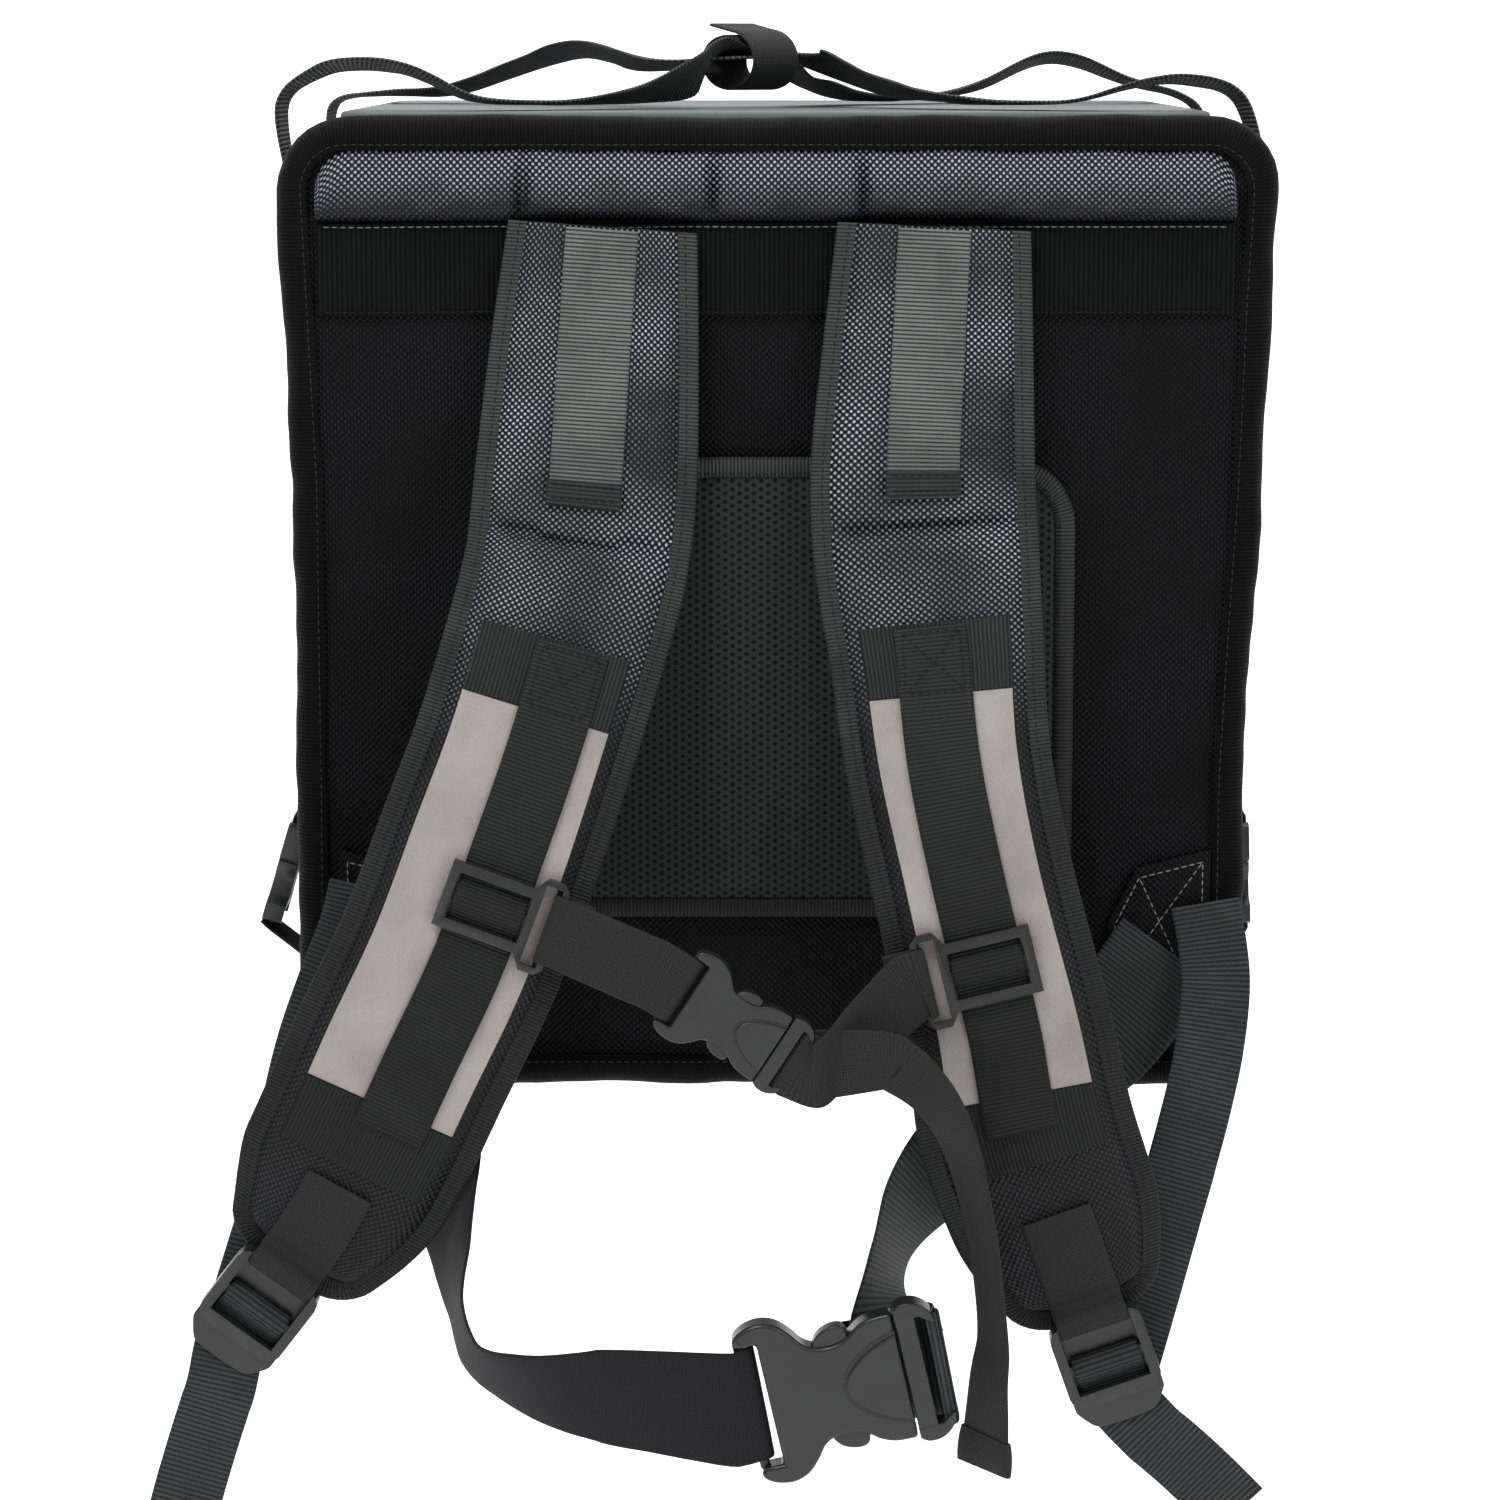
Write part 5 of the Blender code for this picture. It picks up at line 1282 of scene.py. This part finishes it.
def build_lock_plate(side):
    """The back plate that closes a ladder lock behind its webbing."""
    node = f"ladder_lock_{side}"
    plate = Moulded(BucklePlace(node, node))
    plate.plate([(0.06, -0.80), (0.94, -0.80), (0.94, 0.80), (0.06, 0.80)], -0.98, -0.62)
    plate.finish(f"{node}_plate", node, 0.5 * MM)
    place = BucklePlace(node, node)
    low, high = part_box(f"lock_tab_{side}")
    way = place.centre - (low + high) / 2
    arms = ((place.along, place.length / 2, place.across, place.half), (place.across, place.half, place.along, place.length / 2))
    down, reach, aside, half = max(arms, key=lambda arm: abs(way.dot(arm[0])))
    place.along = -down if down.dot(way) < 0 else down
    place.across = aside
    place.length, place.half = 2 * reach, half
    thumb = Moulded(place)
    run = [(0.88, 0.97), (1.0, 0.97), (1.06, 0.93), (1.20, 0.74), (1.25, 0.60), (1.27, 0.30), (1.275, 0.0)]
    outline = smooth_run(run)
    thumb.plate(outline + [Vector((along, -across)) for along, across in reversed(outline[:-1])], -0.35, 0.55)
    thumb.finish(f"{node}_thumb_plate", node, 0.8 * MM)


def end_lump(node, name):
    """The folded and sewn free end of a strap."""
    rows = resample(strap_rows(node), 1 * MM)
    last = rows[-1][0]
    rings, marks = [], []
    for mark, centre, width, thick in rows:
        if mark < last - LUMP_LENGTH:
            continue
        share = math.sin(math.pi * clamp((mark - last + LUMP_LENGTH) / LUMP_LENGTH, 0.04, 0.96)) ** 0.4
        rings.append([centre + width * across * 1.06 + thick * height * (1 + LUMP_SWELL * share)
                      for across, height in STRAP_SECTION])
        marks.append(mark)
    us = [across * 0.030 for across, _ in STRAP_SECTION]
    skin(name, rings, us, marks, CHEST)


def build_plastics():
    for side in ("left", "right"):
        build_moulded(f"ladder_lock_{side}")
        build_lock_plate(side)
        build_moulded(f"sternum_slider_{side}", 0.8 * MM)
        build_moulded(f"side_buckle_female_{side}", 0.7 * MM)
        build_moulded(f"side_buckle_male_{side}", 0.7 * MM)
    build_buckle("chest_buckle", "sternum_buckle_female", "sternum_buckle_male", 1.3 * MM)
    build_buckle("belt_buckle", "belt_buckle_male", "belt_buckle_female", 2.2 * MM)


def build_gusset(side, threads):
    node = f"corner_gusset_{side}"
    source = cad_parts[node].data
    form = bmesh.new()
    form.from_mesh(source)
    bmesh.ops.remove_doubles(form, verts=form.verts, dist=0.003 * MM)
    bmesh.ops.dissolve_limit(form, angle_limit=math.radians(1), verts=form.verts, edges=form.edges)
    mesh = bpy.data.meshes.new(f"{node}_cloth")
    form.to_mesh(mesh)
    form.free()
    layer = mesh.uv_layers.new(name="cloth")
    for loop in mesh.loops:
        place = mesh.vertices[loop.vertex_index].co
        layer.data[loop.index].uv = (place.x, place.z)
    mesh.materials.clear()
    mesh.materials.append(PANEL_WEAVE)
    piece = bpy.data.objects.new(f"{node}_cloth", mesh)
    bpy.context.scene.collection.objects.link(piece)
    mesh.shade_smooth()
    edge = piece.modifiers.new("rounding", "BEVEL")
    edge.width = 0.9 * MM
    edge.segments = 3
    edge.harden_normals = True
    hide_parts(node)
    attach(piece, "root")
    stitch_patch(mesh, threads)


def stitch_patch(mesh, threads):
    """A stitch line just inside a flat patch's front edge, and a cross over its middle."""
    face = min(vertex.co.y for vertex in mesh.vertices)
    corners = [vertex.co.copy() for vertex in mesh.vertices if vertex.co.y < face + 0.3 * MM]
    middle = sum(corners, Vector()) / len(corners)
    corners.sort(key=lambda point: math.atan2(point.z - middle.z, point.x - middle.x))
    inside = [point.lerp(middle, 0.16) + Vector((0, -0.2 * MM, 0)) for point in corners]
    legs = list(zip(inside, inside[1:] + inside[:1]))
    legs += [(inside[step], inside[(step + 2) % len(inside)]) for step in range(min(2, len(inside) - 2))]
    for start, end in legs:
        path = [start.lerp(end, step / 8) for step in range(9)]
        threads.run(path, [Vector((0, -1, 0))] * 9)


# Camera, light and floor


def build_studio():
    scene = bpy.context.scene
    scene.view_settings.view_transform = "Standard"
    camera = bpy.data.objects.new("camera", bpy.data.cameras.new("camera"))
    camera.location = CAMERA_PLACE
    camera.rotation_euler = (math.radians(CAMERA_PITCH), 0, 0)
    camera.data.lens = CAMERA_LENS
    camera.data.sensor_width = 36
    camera.data.sensor_fit = "HORIZONTAL"
    scene.collection.objects.link(camera)
    scene.camera = camera
    world = bpy.data.worlds.new("studio")
    world.use_nodes = True
    world.node_tree.nodes["Background"].inputs[0].default_value = (1, 1, 1, 1)
    world.node_tree.nodes["Background"].inputs[1].default_value = WORLD_LIGHT
    scene.world = world
    for name, place, turn, size, power in (
        ("key", (-0.7, -1.1, 1.9), (35, 0, -27), 0.7, 30),
        ("fill", (1.3, -1.5, 1.1), (60, 0, 42), 0.8, 10),
        ("top", (0.1, 0.5, 1.9), (-8, 0, 0), 0.9, 16),
    ):
        light = bpy.data.objects.new(name, bpy.data.lights.new(name, "AREA"))
        light.location = place
        light.rotation_euler = [math.radians(angle) for angle in turn]
        light.data.size = size
        light.data.energy = power
        scene.collection.objects.link(light)
    build_backdrop(scene)


def build_backdrop(scene):
    """A pale floor that curves up into a wall behind the bag, lit from within so that it stays white."""
    reach, bend, wall = 9.0, 1.2, 2.6
    profile = [(-reach, 0.0), (wall - bend, 0.0)]
    for step in range(1, 13):
        turn = math.radians(90 * step / 12)
        profile.append((wall - bend + bend * math.sin(turn), bend - bend * math.cos(turn)))
    profile.append((wall, reach))
    points = [(side * reach, y, FLOOR_LEVEL + z) for y, z in profile for side in (-1, 1)]
    faces = [(2 * step, 2 * step + 1, 2 * step + 3, 2 * step + 2) for step in range(len(profile) - 1)]
    mesh = bpy.data.meshes.new("floor")
    mesh.from_pydata(points, [], faces)
    mesh.shade_smooth()
    floor = bpy.data.objects.new("floor", mesh)
    scene.collection.objects.link(floor)
    paint = bpy.data.materials.new("floor")
    paint.use_nodes = True
    shader = paint.node_tree.nodes["Principled BSDF"]
    shader.inputs["Base Color"].default_value = (0.9, 0.9, 0.9, 1)
    shader.inputs["Roughness"].default_value = 0.9
    shader.inputs["Emission Color"].default_value = (1, 1, 1, 1)
    shader.inputs["Emission Strength"].default_value = BACKDROP_LIGHT
    mesh.materials.append(paint)


def build():
    random.seed(7)
    build_studio()
    threads = Thread("stitches_dark", THREAD)
    pale = Thread("stitches_pale", PALE_THREAD)
    build_shell()
    build_edge_binding("back_edge_tape", "back_edge_binding", 0, 1)
    build_edge_binding("front_edge_tape", "front_edge_binding", BAG_DEPTH, -1)
    soft = Thread("stitches_edge", EDGE_THREAD)
    ring = [Vector((x, -BINDING_THICKNESS - 0.1 * MM, z)) for x, z in outline(0.8 * BINDING_REACH, 8, 90)]
    soft.run(ring + ring[:1], [Vector((0, -1, 0))] * (len(ring) + 1))
    soft.finish()
    build_lid()
    build_top_band()
    build_yoke(threads, pale)
    build_mesh_pad(threads)
    build_straps(threads, pale)
    build_webbing()
    build_plastics()
    for side in ("left", "right"):
        build_gusset(side, pale)
    threads.finish()
    pale.finish()


build()
